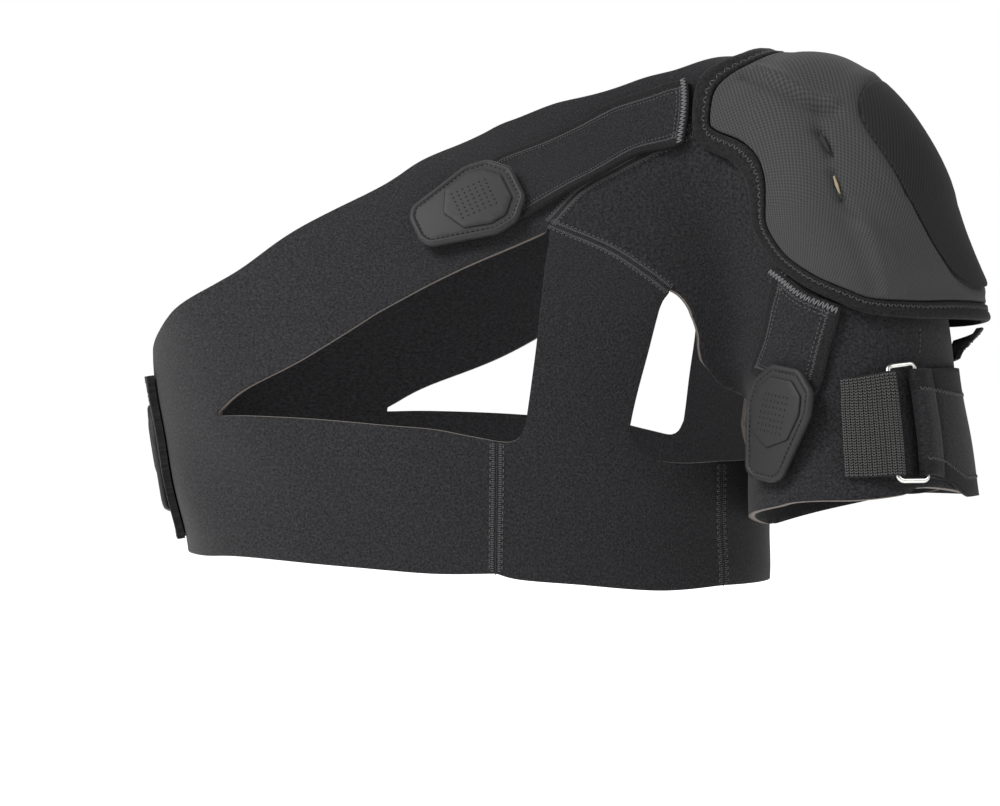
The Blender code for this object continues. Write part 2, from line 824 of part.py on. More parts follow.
# chest and back, each cut as one V of band and diagonal strap
front_v = join([edge(rows, BODY_TURN_R) for rows in
                (HARNESS_UPPER, HARNESS_SEAM, HARNESS_INNER, BAND_TOP, BAND_LOW)])
panel("front_harness", front_v, BODY_LIFT, body_chart, PANEL_STEP, neoprene)
back_v = join([edge(flipped(rows), BODY_TURN_R) for rows in
               (HARNESS_UPPER, HARNESS_SEAM, HARNESS_INNER, BAND_TOP, BAND_LOW)])
panel("back_harness", back_v, BODY_LIFT, body_chart, PANEL_STEP, neoprene)

# the legs that run from the band up to the shoulder, before and behind the arm
front_leg = join([edge(rows, BODY_TURN_R) for rows in
                  (PANEL_CORNER, PANEL_INNER, ARC_SEAM, ARMPIT_EDGE, PANEL_LOW)])
panel("pectoral_panel", front_leg, BODY_LIFT, body_chart, PANEL_STEP, neoprene)
side_top = ARMPIT_EDGE[-1]
side_low = PANEL_LOW[0]
back_leg = join([edge(rows, BODY_TURN_R) for rows in
                 (flipped(PANEL_CORNER), flipped(PANEL_INNER), flipped(ARC_SEAM), flipped(ARMPIT_EDGE),
                  (side_top, side_low), flipped(PANEL_LOW))])
panel("scapular_panel", back_leg, BODY_LIFT, body_chart, PANEL_STEP, neoprene)

sleeve_node()

# moulded pad with its binding and the smooth leaf
pad_loop = join([edge(PAD_OUTLINE, SLEEVE_TURN_R), edge(mirrored(PAD_OUTLINE), SLEEVE_TURN_R)])
pad_body = slab(shrink(pad_loop, BINDING_WIDTH + 0.0009), PAD_BASE, PAD_BASE + PAD)
soften(pad_body, 0.0045, PAD_BASE + PAD)
lattice(pad_body, PAD_STEP)
lay(pad_body, sleeve_chart, pad_flare)
add_node("shoulder_pad", pad_body, pad_cloth)

tape = slab(pad_loop, PAD_BASE, PAD_BASE + PAD_EDGE, hole=shrink(pad_loop, BINDING_WIDTH))
lattice(tape, PANEL_STEP)
lay(tape, sleeve_chart, pad_flare)
add_node("pad_binding", tape, binding_cloth)

leaf_loop = join([edge(LEAF_OUTLINE, SLEEVE_TURN_R), edge(mirrored(LEAF_OUTLINE), SLEEVE_TURN_R)])
leaf = slab(leaf_loop, PAD_BASE + PAD + 0.0004, PAD_BASE + PAD + 0.0004 + LEAF)
lattice(leaf, PAD_STEP)
lay(leaf, sleeve_chart, pad_flare)
add_node("pad_leaf", leaf, leaf_sheet)

# straps that hold the pad down
upper = join([edge(UPPER_STRAP, BODY_TURN_R), edge(UPPER_STRAP_LOW, BODY_TURN_R)])
panel("upper_pad_strap", upper, STRAP_LIFT, body_chart, PANEL_STEP, neoprene)
lower = join([edge(LOWER_STRAP, SLEEVE_TURN_R), edge(LOWER_STRAP_EDGE, SLEEVE_TURN_R),
              edge(LOWER_STRAP_TOP, SLEEVE_TURN_R)])
panel("lower_pad_strap", lower, STRAP_LIFT, sleeve_chart, PAD_STEP, neoprene)
rear = join([edge(REAR_STRAP, SLEEVE_TURN_R), edge(REAR_STRAP_LOW, SLEEVE_TURN_R)])
rear_strap = slab(rear, *STRAP_LIFT)
lattice(rear_strap, PAD_STEP)
lay(rear_strap, sleeve_chart, strap_flare)
add_node("rear_pad_strap", rear_strap, neoprene)

# side closure over the meeting ends of front and back
flap = join([edge(FLAP_FRONT, BODY_TURN_R), edge(FLAP_BACK, BODY_TURN_R)])
panel("closure_flap", flap, FLAP_LIFT, body_chart, PANEL_STEP, neoprene)

tab_node("chest_tab", body_chart, CHEST_TAB, TAB_LIFT[0], 0.120, 0.300)
tab_node("arm_tab", sleeve_chart, ARM_TAB, TAB_LIFT[0] + 0.0009, 0.130, 0.400)
tab_node("side_tab", body_chart, SIDE_TAB, FLAP_LIFT[1] + LAYER_GAP + 0.0001, 0.085, 2.000)

# arm strap, webbing and the loop between them
ribbon_node("elastic_webbing", FOLD_PATH + ((-0.0190, WEB_LIFT),), BAR_LEFT, 1.0,
            -0.0351, 0.0124, lambda turn: 0.0 * turn, elastic)
ribbon_node("arm_strap", FOLD_PATH + ((-0.200, WEB_LIFT),), BAR_RIGHT, -1.0,
            -0.0351, 0.0124, lambda turn: 0.0105 * smooth_step((turn - 48.0) / 26.0), neoprene)
loop_node()
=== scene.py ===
# %% [markdown]
# # A shoulder brace, dressed over its CAD frame
# The brace is cut from 3 mm neoprene: one V before and one V behind the chest, two legs
# that climb from the chest band to the shoulder, and a sleeve that ends in a cuff.
# A moulded pad sits on the shoulder.  It keeps its worn form, so every piece here is cut
# flat and laid over the same smooth form of a wearer, which is not itself built.
# Lengths are metres.  +Z is up, +X the wearer's left and -Y the wearer's front.

import bmesh
import bpy
import numpy as np
from mathutils import Matrix, Vector


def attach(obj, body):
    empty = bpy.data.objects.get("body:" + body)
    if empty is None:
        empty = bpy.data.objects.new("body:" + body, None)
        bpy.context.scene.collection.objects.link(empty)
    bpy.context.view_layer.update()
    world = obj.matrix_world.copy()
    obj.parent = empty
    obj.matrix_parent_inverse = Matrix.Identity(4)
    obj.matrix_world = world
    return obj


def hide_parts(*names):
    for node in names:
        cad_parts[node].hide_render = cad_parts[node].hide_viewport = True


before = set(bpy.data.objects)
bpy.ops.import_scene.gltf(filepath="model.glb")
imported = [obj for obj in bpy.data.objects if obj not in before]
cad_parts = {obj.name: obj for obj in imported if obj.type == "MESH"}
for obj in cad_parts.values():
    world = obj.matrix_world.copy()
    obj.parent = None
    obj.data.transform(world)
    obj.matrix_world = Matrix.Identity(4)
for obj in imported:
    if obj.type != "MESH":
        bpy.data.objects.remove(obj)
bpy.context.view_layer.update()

print("CAD nodes:", len(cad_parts))

# %% [markdown]
# ## Camera
# The camera stands 24 degrees to the wearer's left, two metres off, with a long lens, as
# a product photographer would to keep the outline free of perspective.

# %% Camera
PHOTO_WIDTH, FOCAL_PIXELS, SENSOR = 1000, 3800.0, 36.0
AZIMUTH, PITCH = np.radians(24.0), np.radians(0.6)
TARGET = np.array((-0.130, 0.0, -0.154))
DISTANCE, SIDE_SHIFT = 2.0, 0.00632

right = np.array((np.cos(AZIMUTH), np.sin(AZIMUTH), 0.0))
toward = np.array((np.sin(AZIMUTH), -np.cos(AZIMUTH), 0.0))
view = -toward * np.cos(PITCH) - np.array((0.0, 0.0, np.sin(PITCH)))
up = np.cross(right, view)
place = TARGET + toward * DISTANCE + right * SIDE_SHIFT

camera_data = bpy.data.cameras.new("camera")
camera_data.sensor_fit = "HORIZONTAL"
camera_data.sensor_width = SENSOR
camera_data.lens = FOCAL_PIXELS / PHOTO_WIDTH * SENSOR
camera = bpy.data.objects.new("camera", camera_data)
bpy.context.scene.collection.objects.link(camera)
camera.matrix_world = Matrix.Translation(place) @ Matrix((right, up, -view)).transposed().to_4x4()
bpy.context.scene.camera = camera
print("lens", round(camera_data.lens, 1), "mm")

# %% [markdown]
# ## Floor and light
# The floor is a roll of pale paper that fades into the white ground.  The light is one
# large soft box with two weak ones, because black cloth shows its form only in broad
# reflections, and a small lamp would leave it flat.

# %% Nodes and colours
def linear(hex_code):
    """An sRGB hex colour as linear RGBA."""
    value = np.array([int(hex_code[i:i + 2], 16) for i in (1, 3, 5)]) / 255.0
    value = np.where(value <= 0.04045, value / 12.92, ((value + 0.055) / 1.055) ** 2.4)
    return (*value, 1.0)


def add_node(tree, kind, inputs=None, **settings):
    """Add one node; an input is a value or another node's output."""
    node = tree.nodes.new(kind)
    for key, value in settings.items():
        setattr(node, key, value)
    for key, value in (inputs or {}).items():
        if isinstance(value, bpy.types.NodeSocket):
            tree.links.new(value, node.inputs[key])
        else:
            node.inputs[key].default_value = value
    return node


def new_material(name, colour=None, **constants):
    """A material with its Principled shader's constants set on their own sockets."""
    material = bpy.data.materials.new(name)
    material.use_nodes = True
    shader = material.node_tree.nodes["Principled BSDF"]
    if colour:
        shader.inputs["Base Color"].default_value = linear(colour)
    for key, value in constants.items():
        shader.inputs[key.replace("_", " ")].default_value = value
    return material, material.node_tree, shader


print("mid grey #808080 is", round(float(linear("#808080")[0]), 3), "linear")

# %% Floor and light
FLOOR_Z, FLOOR_HALF = -0.345, 30.0
WHITE = (1.0, 1.0, 1.0, 1.0)
bm = bmesh.new()
bmesh.ops.create_grid(bm, x_segments=1, y_segments=1, size=FLOOR_HALF)
floor_mesh = bpy.data.meshes.new("floor")
bm.to_mesh(floor_mesh)
bm.free()
floor_mesh.transform(Matrix.Translation((0.0, 0.0, FLOOR_Z)))
floor = bpy.data.objects.new("floor", floor_mesh)
bpy.context.scene.collection.objects.link(floor)

# Uncoated white paper off a roll.  Its own glow stands for the light of a lit studio, and
# rises from 2 to 5 m off, where the lamps no longer reach.
paper, tree, shader = new_material("seamless_paper_matte", "#F4F4F4", Roughness=0.9, Emission_Color=WHITE)
ground = add_node(tree, "ShaderNodeTexCoord").outputs["Object"]
reach = add_node(tree, "ShaderNodeVectorMath", {"Vector": ground}, operation="LENGTH")
glow = add_node(tree, "ShaderNodeMapRange", {"Value": reach.outputs["Value"], "From Min": 2.0,
                "From Max": 5.0, "To Min": 0.70, "To Max": 0.80})
tree.links.new(glow.outputs["Result"], shader.inputs["Emission Strength"])
floor_mesh.materials.append(paper)

world = bpy.data.worlds.new("studio")
world.use_nodes = True
background = world.node_tree.nodes["Background"]
background.inputs["Color"].default_value = WHITE
ray = add_node(world.node_tree, "ShaderNodeLightPath")
seen = add_node(world.node_tree, "ShaderNodeMapRange", {"Value": ray.outputs["Is Camera Ray"],
                "To Min": 0.24, "To Max": 1.0})
world.node_tree.links.new(seen.outputs["Result"], background.inputs["Strength"])
bpy.context.scene.world = world
bpy.context.scene.view_settings.view_transform = "Standard"

SOFT_BOXES = (
    # name, azimuth, elevation, distance, size, watts
    ("key_box", -30.0, 42.0, 1.9, 0.9, 46.0),
    ("fill_box", 85.0, 30.0, 2.2, 1.0, 14.0),
    ("back_box", 190.0, 45.0, 2.2, 1.4, 16.0),
)
for name, azimuth, elevation, distance, size, watts in SOFT_BOXES:
    light = bpy.data.lights.new(name, "AREA")
    light.energy = watts
    light.size = size
    a, e = np.radians(azimuth), np.radians(elevation)
    away = Vector((np.sin(a) * np.cos(e), -np.cos(a) * np.cos(e), np.sin(e)))
    lamp = bpy.data.objects.new(name, light)
    lamp.matrix_world = (Matrix.Translation(Vector(TARGET) + away * distance)
                         @ away.to_track_quat("Z", "Y").to_matrix().to_4x4())
    bpy.context.scene.collection.objects.link(lamp)
print("lights:", len(SOFT_BOXES))

# %% [markdown]
# ## The wearer's form and the two charts
# Cloth that is worn takes the wearer's form, so a hand-modelled surface would need every
# fold placed by eye.  Here the form is a signed distance: an elliptic chest under a dome,
# the roll of the shoulder, and a tapered arm, blended into one.  Two charts carry a flat
# pattern onto it: the body chart turns round the chest, and the sleeve chart follows the
# arm up and over the shoulder.  The same numbers shape the CAD solids.

# %% Sizes
BRACE_HEIGHT, MIDLINE_X = 0.270, -0.130
CHEST_HALF, CHEST_DEPTH, CHEST_CLOSE_Z, CHEST_RISE = 0.186, 0.121, -0.130, 0.112
ARM_RADIUS, ARM_RADIUS_LOW, ARM_DEEP = 0.0400, 0.0525, 1.15
YOKE_RADIUS, YOKE_RADIUS_OUTER = 0.0500, 0.0401
CHEST_SECTIONS = (
    # height, right half, left half, half depth, as shares
    (-1.111, 0.860, 0.785, 0.893), (-0.963, 0.882, 0.796, 0.926), (-0.741, 0.946, 0.806, 0.975),
    (-0.533, 1.000, 0.849, 1.000), (-0.370, 1.000, 0.914, 1.000),
)
YOKE_INNER = np.array((MIDLINE_X + 0.045, 0.005, -0.030))
YOKE_OUTER = np.array((MIDLINE_X + 0.1676, 0.0, -0.0479))
ARM_TOP = np.array((MIDLINE_X + 0.1966, -0.004, -0.0789))
ARM_LOW = np.array((MIDLINE_X + 0.2125, -0.018, -0.225))
ARMPIT_Z, ARMPIT_RISE, BLEND, CREASE = -0.185, 0.035, 0.045, 0.001
BODY_AXIS_X, BODY_DOME_Z, BODY_DOME_R, BODY_TURN_R = MIDLINE_X + 0.045, -0.130, 0.160, 0.130
HINGE = np.array((MIDLINE_X + 0.133, 0.0, -0.175))
HINGE_TO_AXIS, HINGE_R, SLEEVE_TURN_R = 0.072, 0.085, 0.060
QUARTER = HINGE_R * np.pi / 2.0     # length of the sleeve chart's bend

SKIN_GAP, NEOPRENE, LAYER_GAP, SEAM_GAP = 0.0005, 0.0030, 0.0009, 0.0002
STRAP, FLAP, TAB, RIBBON, LOOP_WIRE, LEAF = 0.0025, 0.0034, 0.0030, 0.0015, 0.0013, 0.0012
PAD, PAD_EDGE, PAD_FLARE, BINDING_WIDTH = 0.0090, 0.0050, 0.0160, 0.0062
OVER = SKIN_GAP + NEOPRENE + LAYER_GAP
PAD_BASE = OVER + 0.0006
UNDULATION = 0.0008         # height of the soft unevenness of worn cloth
print("straps lie", round(OVER * 1000.0, 1), "mm off the form")


# %% Form
def smooth_step(t):
    """Ease from 0 to 1."""
    t = np.clip(t, 0.0, 1.0)
    return t * t * (3.0 - 2.0 * t)


def blend_min(a, b, k):
    """Smallest of two distances with a rounded valley of width k."""
    h = np.clip(0.5 + 0.5 * (b - a) / k, 0.0, 1.0)
    return b * (1.0 - h) + a * h - k * h * (1.0 - h)


def section_value(z, column, size):
    """Read one column of CHEST_SECTIONS at height z, as a smooth curve."""
    heights = np.array([row[0] * BRACE_HEIGHT for row in CHEST_SECTIONS])
    values = np.array([row[column] * size for row in CHEST_SECTIONS])
    slopes = np.gradient(values, heights)
    z = np.clip(z, heights[0], heights[-1])
    i = np.clip(np.searchsorted(heights, z) - 1, 0, len(heights) - 2)
    gap = heights[i + 1] - heights[i]
    t = (z - heights[i]) / gap
    start = (2 * t ** 3 - 3 * t ** 2 + 1) * values[i] + (t ** 3 - 2 * t ** 2 + t) * gap * slopes[i]
    end = (3 * t ** 2 - 2 * t ** 3) * values[i + 1] + (t ** 3 - t ** 2) * gap * slopes[i + 1]
    return start + end


def chest_distance(p):
    """Signed distance to the chest: elliptic walls closed by a dome."""
    x, y, z = p[..., 0] - MIDLINE_X, p[..., 1], p[..., 2]
    low = np.minimum(z, CHEST_CLOSE_Z)
    half = np.where(x < 0.0, section_value(low, 1, CHEST_HALF), section_value(low, 2, CHEST_HALF))
    depth = section_value(low, 3, CHEST_DEPTH)
    rise = np.maximum(z - CHEST_CLOSE_Z, 0.0) / CHEST_RISE
    k0 = np.sqrt((x / half) ** 2 + (y / depth) ** 2 + rise ** 2)
    k1 = np.sqrt((x / half ** 2) ** 2 + (y / depth ** 2) ** 2 + (rise / CHEST_RISE) ** 2)
    return k0 * (k0 - 1.0) / np.maximum(k1, 1e-9)


def cone_distance(p, start, start_radius, end, end_radius, reach):
    """Signed distance to a round-ended tapered limb."""
    along = end - start
    t = np.clip(((p - start) @ along) / (along @ along), 0.0, reach)
    centre = start + t[..., None] * along
    return np.linalg.norm(p - centre, axis=-1) - (start_radius + (end_radius - start_radius) * t)


def form_distance(p):
    """Signed distance to the wearer: chest, shoulder roll and upper arm in one."""
    yoke = cone_distance(p, YOKE_INNER, YOKE_RADIUS, YOKE_OUTER, YOKE_RADIUS_OUTER, 1.0)
    torso = blend_min(chest_distance(p), yoke, BLEND)
    squash = np.array((1.0, 1.0 / ARM_DEEP, 1.0))
    arm = cone_distance(p * squash, ARM_TOP * squash, ARM_RADIUS, ARM_LOW * squash, ARM_RADIUS_LOW, 1.4)
    joined = CREASE + (BLEND - CREASE) * smooth_step((p[..., 2] - ARMPIT_Z) / ARMPIT_RISE)
    return blend_min(torso, arm, joined)


def form_normal(p):
    """Outward direction of the form at p."""
    slope = np.zeros_like(p)
    for axis in range(3):
        shift = np.zeros(3)
        shift[axis] = 1e-5
        slope[..., axis] = form_distance(p + shift) - form_distance(p - shift)
    return slope / np.linalg.norm(slope, axis=-1, keepdims=True)


def to_form(start, direction):
    """Walk from inside the wearer until the skin is met, each step a share of the distance left."""
    t = np.full(start.shape[:-1], 0.02)
    for _ in range(70):
        t = t - 0.75 * form_distance(start + direction * t[..., None])
    return start + direction * t[..., None]


def undulation(p):
    """Soft unevenness that all layers share, so that none cuts into another."""
    x, y, z = p[..., 0], p[..., 1], p[..., 2]
    wave = (np.sin(x * 71.0 + z * 52.0 + 1.3) + np.sin(y * 83.0 - z * 61.0)
            + np.sin(z * 117.0 + x * 38.0 + 0.6))
    return wave * UNDULATION / 2.0


def lift_off(skin, lift):
    """Raise points of the form by lift along its normal."""
    return skin + form_normal(skin) * (lift + undulation(skin))[:, None]


print("distance at the origin", np.round(form_distance(np.zeros((1, 3))) * 1000.0, 1), "mm")


# %% Charts
def body_skin(flat):
    """Flat (width, rise) to the chest's skin."""
    turn, rise = flat[:, 0] / BODY_TURN_R, flat[:, 1]
    tilt = np.maximum(rise, 0.0) / BODY_DOME_R
    zero = np.zeros_like(rise)
    start = np.stack((zero + BODY_AXIS_X, zero, BODY_DOME_Z + np.minimum(rise, 0.0)), axis=-1)
    direction = np.stack((np.sin(turn) * np.cos(tilt), -np.cos(turn) * np.cos(tilt), np.sin(tilt)), axis=-1)
    return to_form(start, direction)


def sleeve_axis(bend):
    """Direction from the hinge to the sleeve's axis at an angle of the bend."""
    return np.stack((np.cos(bend), np.zeros_like(bend), np.sin(bend)), axis=-1)


def sleeve_skin(flat):
    """Flat (width, length) to the skin of arm and shoulder."""
    turn, along = flat[:, 0] / SLEEVE_TURN_R, flat[:, 1]
    out = sleeve_axis(np.clip(along, 0.0, QUARTER) / HINGE_R)
    low = np.minimum(along, 0.0)[:, None]
    arm_slope = (ARM_LOW - ARM_TOP) / (ARM_TOP[2] - ARM_LOW[2])
    start = HINGE + out * HINGE_TO_AXIS - low * arm_slope * np.array((1.0, 1.0, 0.0))
    start = start + low * np.array((0.0, 0.0, 1.0))
    start = start - np.maximum(along - QUARTER, 0.0)[:, None] * np.array((1.0, 0.0, 0.0))
    direction = np.array((0.0, -1.0, 0.0)) * np.cos(turn)[:, None] + out * np.sin(turn)[:, None]
    return to_form(start, direction)


def to_sleeve(points):
    """Flat points of the body chart as flat points of the sleeve chart."""
    p = body_skin(np.array(points))
    x, z = p[:, 0] - HINGE[0], p[:, 2] - HINGE[2]
    bend = np.clip(np.arctan2(z, x), 0.0, np.pi / 2.0)
    along = np.where(z < 0.0, z, np.where(x < 0.0, QUARTER - x, bend * HINGE_R))
    out = sleeve_axis(bend)
    centre = HINGE + out * HINGE_TO_AXIS
    centre = centre - np.maximum(along - QUARTER, 0.0)[:, None] * np.array((1.0, 0.0, 0.0))
    offset = p - centre
    turn = np.arctan2((offset * out).sum(axis=-1), -offset[:, 1])
    turn = np.where(turn < -np.pi / 2.0, turn + 2.0 * np.pi, turn)
    return [np.array((a * SLEEVE_TURN_R, b)) for a, b in zip(turn, along)]


top = lift_off(sleeve_skin(np.array([[np.pi / 2 * SLEEVE_TURN_R, 0.10]])), np.zeros(1))
print("shoulder top", np.round(top, 3))

# %% [markdown]
# ## The flat pattern
# A pattern cutter keeps the brace as flat outlines, and so does this script.  Each row is
# an angle round the chest or the arm in degrees, and a height or length as a share of the
# brace's height.  An edge is a smooth curve through its rows, and the back uses the
# front's rows read the other way round.

# %% Pattern tables
HARNESS_UPPER = (  # turn, rise
    (-90.0, -0.111), (-83.0, -0.072), (-73.2, -0.026), (-67.7, 0.005), (-57.5, 0.054),
    (-49.3, 0.111), (-37.4, 0.227), (-28.5, 0.311), (-22.9, 0.402), (-12.5, 0.521), (-2.5, 0.585),
    (20.1, 0.642), (54.2, 0.632), (70.1, 0.595), (82.4, 0.568), (90.0, 0.530),
)
HARNESS_SEAM = (  # turn, rise
    (90.0, 0.407), (72.0, 0.441), (52.0, 0.448), (38.0, 0.411), (27.3, 0.350), (18.2, 0.243),
)
HARNESS_INNER = (  # turn, rise
    (17.0, 0.218), (1.0, 0.135), (-8.2, 0.084), (-20.9, 0.013), (-37.7, -0.077), (-50.8, -0.137),
    (-57.1, -0.180),
)
BAND_TOP = (  # turn, rise
    (-57.2, -0.188), (-50.5, -0.187), (-37.6, -0.192), (-21.8, -0.202), (-10.6, -0.209),
    (-2.1, -0.221), (5.1, -0.231),
)
BAND_LOW = (  # turn, rise
    (3.8, -0.474), (-12.7, -0.476), (-32.8, -0.466), (-55.9, -0.456), (-67.4, -0.460),
    (-80.0, -0.459), (-90.0, -0.456),
)
PANEL_CORNER = ((5.1, -0.231), (8.3, -0.232), (10.6, -0.224), (12.2, -0.204))  # turn, rise
PANEL_INNER = (  # turn, rise
    (12.2, -0.204), (13.8, -0.128), (15.5, -0.039), (16.5, 0.036), (17.3, 0.127), (18.2, 0.192),
)
ARC_SEAM = ((18.2, 0.243), (33.9, 0.175), (43.9, 0.107), (49.5, 0.063))  # turn, rise
ARMPIT_EDGE = (  # turn, rise
    (49.4, 0.055), (47.1, 0.022), (44.1, -0.071), (40.3, -0.194), (40.1, -0.214), (42.2, -0.243),
    (47.0, -0.264), (56.3, -0.272), (69.5, -0.270),
)
PANEL_LOW = ((71.1, -0.502), (50.0, -0.508), (25.4, -0.494), (10.1, -0.485), (3.8, -0.474))  # turn, rise
SLEEVE_LOW = (  # turn, along
    (-90.0, -0.222), (-81.1, -0.222), (-22.7, -0.188), (-8.8, -0.176), (1.6, -0.172),
    (16.3, -0.170), (34.1, -0.160), (44.2, -0.148), (90.0, -0.167),
)
ARMHOLE = (  # turn, along
    (-90.0, -0.033), (-78.0, -0.024), (-68.0, 0.010), (-60.5, 0.080), (-55.5, 0.165),
    (-51.7, 0.240), (-45.4, 0.333), (-40.9, 0.393), (-36.5, 0.421), (-31.2, 0.434), (-20.5, 0.468),
    (-13.0, 0.503),
)
PAD_OUTLINE = (  # turn, along
    (90.0, 0.460), (81.0, 0.469), (75.0, 0.484), (70.0, 0.495), (63.0, 0.498), (52.5, 0.484),
    (46.9, 0.429), (39.5, 0.393), (23.8, 0.357), (15.0, 0.292), (15.4, 0.221), (22.6, 0.165),
    (31.9, 0.133), (51.6, 0.113), (74.0, 0.106), (90.0, 0.104),
)
LEAF_OUTLINE = (  # turn, along
    (90.0, 0.352), (80.0, 0.349), (72.0, 0.337), (67.5, 0.315), (66.0, 0.285), (66.5, 0.245),
    (68.5, 0.200), (74.0, 0.163), (83.0, 0.147), (90.0, 0.144),
)
UPPER_STRAP = (  # turn, rise
    (-5.8, 0.316), (-0.0, 0.439), (20.5, 0.544), (42.2, 0.594), (60.1, 0.574), (67.9, 0.548),
)
UPPER_STRAP_LOW = ((61.3, 0.430), (46.1, 0.443), (28.2, 0.365), (10.9, 0.248), (2.7, 0.210))  # turn, rise
LOWER_STRAP = ((12.6, 0.294), (-10.0, 0.236), (-31.0, 0.139))  # turn, along
LOWER_STRAP_EDGE = ((-5.3, -0.011), (2.4, 0.022), (10.2, 0.102), (21.5, 0.163))  # turn, along
LOWER_STRAP_TOP = ((21.5, 0.163), (13.8, 0.218), (12.6, 0.294))  # turn, along
FLAP_FRONT = ((-76.5, -0.110), (-76.0, -0.270), (-75.5, -0.430))  # turn, rise
FLAP_BACK = ((-104.0, -0.430), (-104.0, -0.110))  # turn, rise
REAR_STRAP = ((98.0, 0.0965), (134.0, 0.0965))  # turn, along
REAR_STRAP_LOW = ((131.0, 0.060), (101.0, 0.060))  # turn, along
TAB_OUTLINE = (  # half width, along
    (0.22, -0.500), (0.46, -0.340), (0.50, -0.130), (0.29, 0.440), (0.16, 0.500),
)
print("rows in the pad's outline:", len(PAD_OUTLINE))

# %% Edges and outlines
EDGE_STEP = 0.0025          # spacing of points along an edge
CHORD = 0.0028              # longest straight stretch of an outline, so that it can bend
MERGE = 0.0004              # points nearer than this are one


def flat_points(rows, radius):
    """Table rows as flat metres."""
    return [np.array((np.radians(turn) * radius, share * BRACE_HEIGHT)) for turn, share in rows]


def curve_through(points, step):
    """Points along a smooth curve through free points, ends kept."""
    points = [np.array(p) for p in points]
    if len(points) < 3:
        knots = [points[0], points[0], points[-1], points[-1]]
    else:
        knots = [2 * points[0] - points[1]] + points + [2 * points[-1] - points[-2]]
    result = []
    for p0, p1, p2, p3 in zip(knots, knots[1:], knots[2:], knots[3:]):
        count = max(1, int(round(np.linalg.norm(p2 - p1) / step)))
        for t in np.arange(count) / count:
            cubic = (2 * p1 + (p2 - p0) * t + (2 * p0 - 5 * p1 + 4 * p2 - p3) * t ** 2
                     + (3 * p1 - p0 - 3 * p2 + p3) * t ** 3)
            result.append(cubic * 0.5)
    return result + [points[-1]]


def edge(rows, radius, step=EDGE_STEP):
    """Points along a smooth curve through table rows."""
    return curve_through(flat_points(rows, radius), step)


def flipped(rows):
    """The same edge on the wearer's back, read the same way round."""
    return tuple((180.0 - turn, share) for turn, share in rows)


def mirrored(rows):
    """The same edge on the wearer's back, read the other way round."""
    return flipped(rows)[::-1]


def filled(loop, step):
    """A closed outline with points added where they stand far apart."""
    dense = []
    for a, b in zip(loop, loop[1:] + loop[:1]):
        count = max(1, int(round(np.linalg.norm(b - a) / step)))
        dense += [a + (b - a) * t for t in np.arange(count) / count]
    return dense


def join(pieces):
    """Chain point lists into one closed counter-clockwise outline."""
    loop = []
    for point in (point for piece in pieces for point in piece):
        if not loop or np.linalg.norm(point - loop[-1]) > MERGE:
            loop.append(point)
    while np.linalg.norm(loop[0] - loop[-1]) < MERGE:
        loop.pop()
    loop = filled(loop, CHORD)
    area = sum(a[0] * b[1] - b[0] * a[1] for a, b in zip(loop, loop[1:] + loop[:1]))
    return loop[::-1] if area < 0.0 else loop


def shrink(loop, distance):
    """Move a counter-clockwise outline inward by a distance."""
    result = []
    for i, point in enumerate(loop):
        before, after = point - loop[i - 1], loop[(i + 1) % len(loop)] - point
        before, after = before / np.linalg.norm(before), after / np.linalg.norm(after)
        inward = np.array((-before[1] - after[1], before[0] + after[0]))
        length = max(np.linalg.norm(inward), 0.6)
        result.append(point + inward * 2.0 * distance / (length * length))
    return result


def outline(tables, radius, gap=SEAM_GAP / 2.0):
    """Tables of one chart as a closed outline, drawn in by its share of the seam's gap."""
    return shrink(join([edge(rows, radius) for rows in tables]), gap)


def line_distance(flat, line, closed=False):
    """Distance of flat points to a line of points, and how far along it the nearest one is."""
    line = np.array(list(line) + ([line[0]] if closed else []))
    start, step = line[:-1], np.diff(line, axis=0)
    size = np.linalg.norm(step, axis=1)
    before = np.concatenate(([0.0], np.cumsum(size)[:-1]))
    best, run = np.full(len(flat), 9.0), np.zeros(len(flat))
    for a, d, s, r in zip(start, step, size, before):
        t = np.clip(((flat - a) @ d) / max(s * s, 1e-12), 0.0, 1.0)
        gap = np.linalg.norm(flat - a - t[:, None] * d, axis=1)
        near = gap < best
        best = np.where(near, gap, best)
        run = np.where(near, r + t * s, run)
    return best, run


print("points on the pad's outline:", len(join([edge(PAD_OUTLINE, SLEEVE_TURN_R)])))

# %% [markdown]
# ## Cutting and laying cloth
# A piece starts as one flat face of its outline.  Insets give the rows of its rounded
# rim, and straight cuts on a square lattice give it enough points to bend.  It is then
# extruded to its thickness and laid on the form.  This keeps the cut edge crisp and the
# inside even, which a remesh or a shrinkwrap would not.  The flat place of every point is
# kept as the UV map, in metres, so that knit and weave follow the cloth.

# %% Cut and lay
RIM = ((0.0, 0.00055), (0.0003, 0.00016), (0.0006, 0.0))      # inset, drop below the face


def lattice(bm, faces, step):
    """Cut flat faces along a square lattice."""
    for axis, normal in ((0, Vector((1.0, 0.0, 0.0))), (1, Vector((0.0, 1.0, 0.0)))):
        values = [v.co[axis] for f in faces for v in f.verts]
        done, rest = [], list(faces)
        for k in range(int(np.floor(min(values) / step)) + 1, int(np.ceil(max(values) / step))):
            geometry = set(rest)
            for face in rest:
                geometry.update(face.edges)
                geometry.update(face.verts)
            cut = bmesh.ops.bisect_plane(bm, geom=list(geometry), dist=2e-6, plane_co=normal * (k * step),
                                         plane_no=normal)
            parts = [g for g in cut["geom"] if isinstance(g, bmesh.types.BMFace)]
            done += [f for f in parts if f.calc_center_median()[axis] < k * step]
            rest = [f for f in parts if f.calc_center_median()[axis] > k * step]
        faces = done + rest
    return faces


def raise_slab(bm, axis, height):
    """Thicken flat faces: the old ones stay, the new ones move to a height along one axis."""
    made = bmesh.ops.extrude_face_region(bm, geom=bm.faces[:], use_keep_orig=True)
    for vert in (g for g in made["geom"] if isinstance(g, bmesh.types.BMVert)):
        vert.co[axis] = height


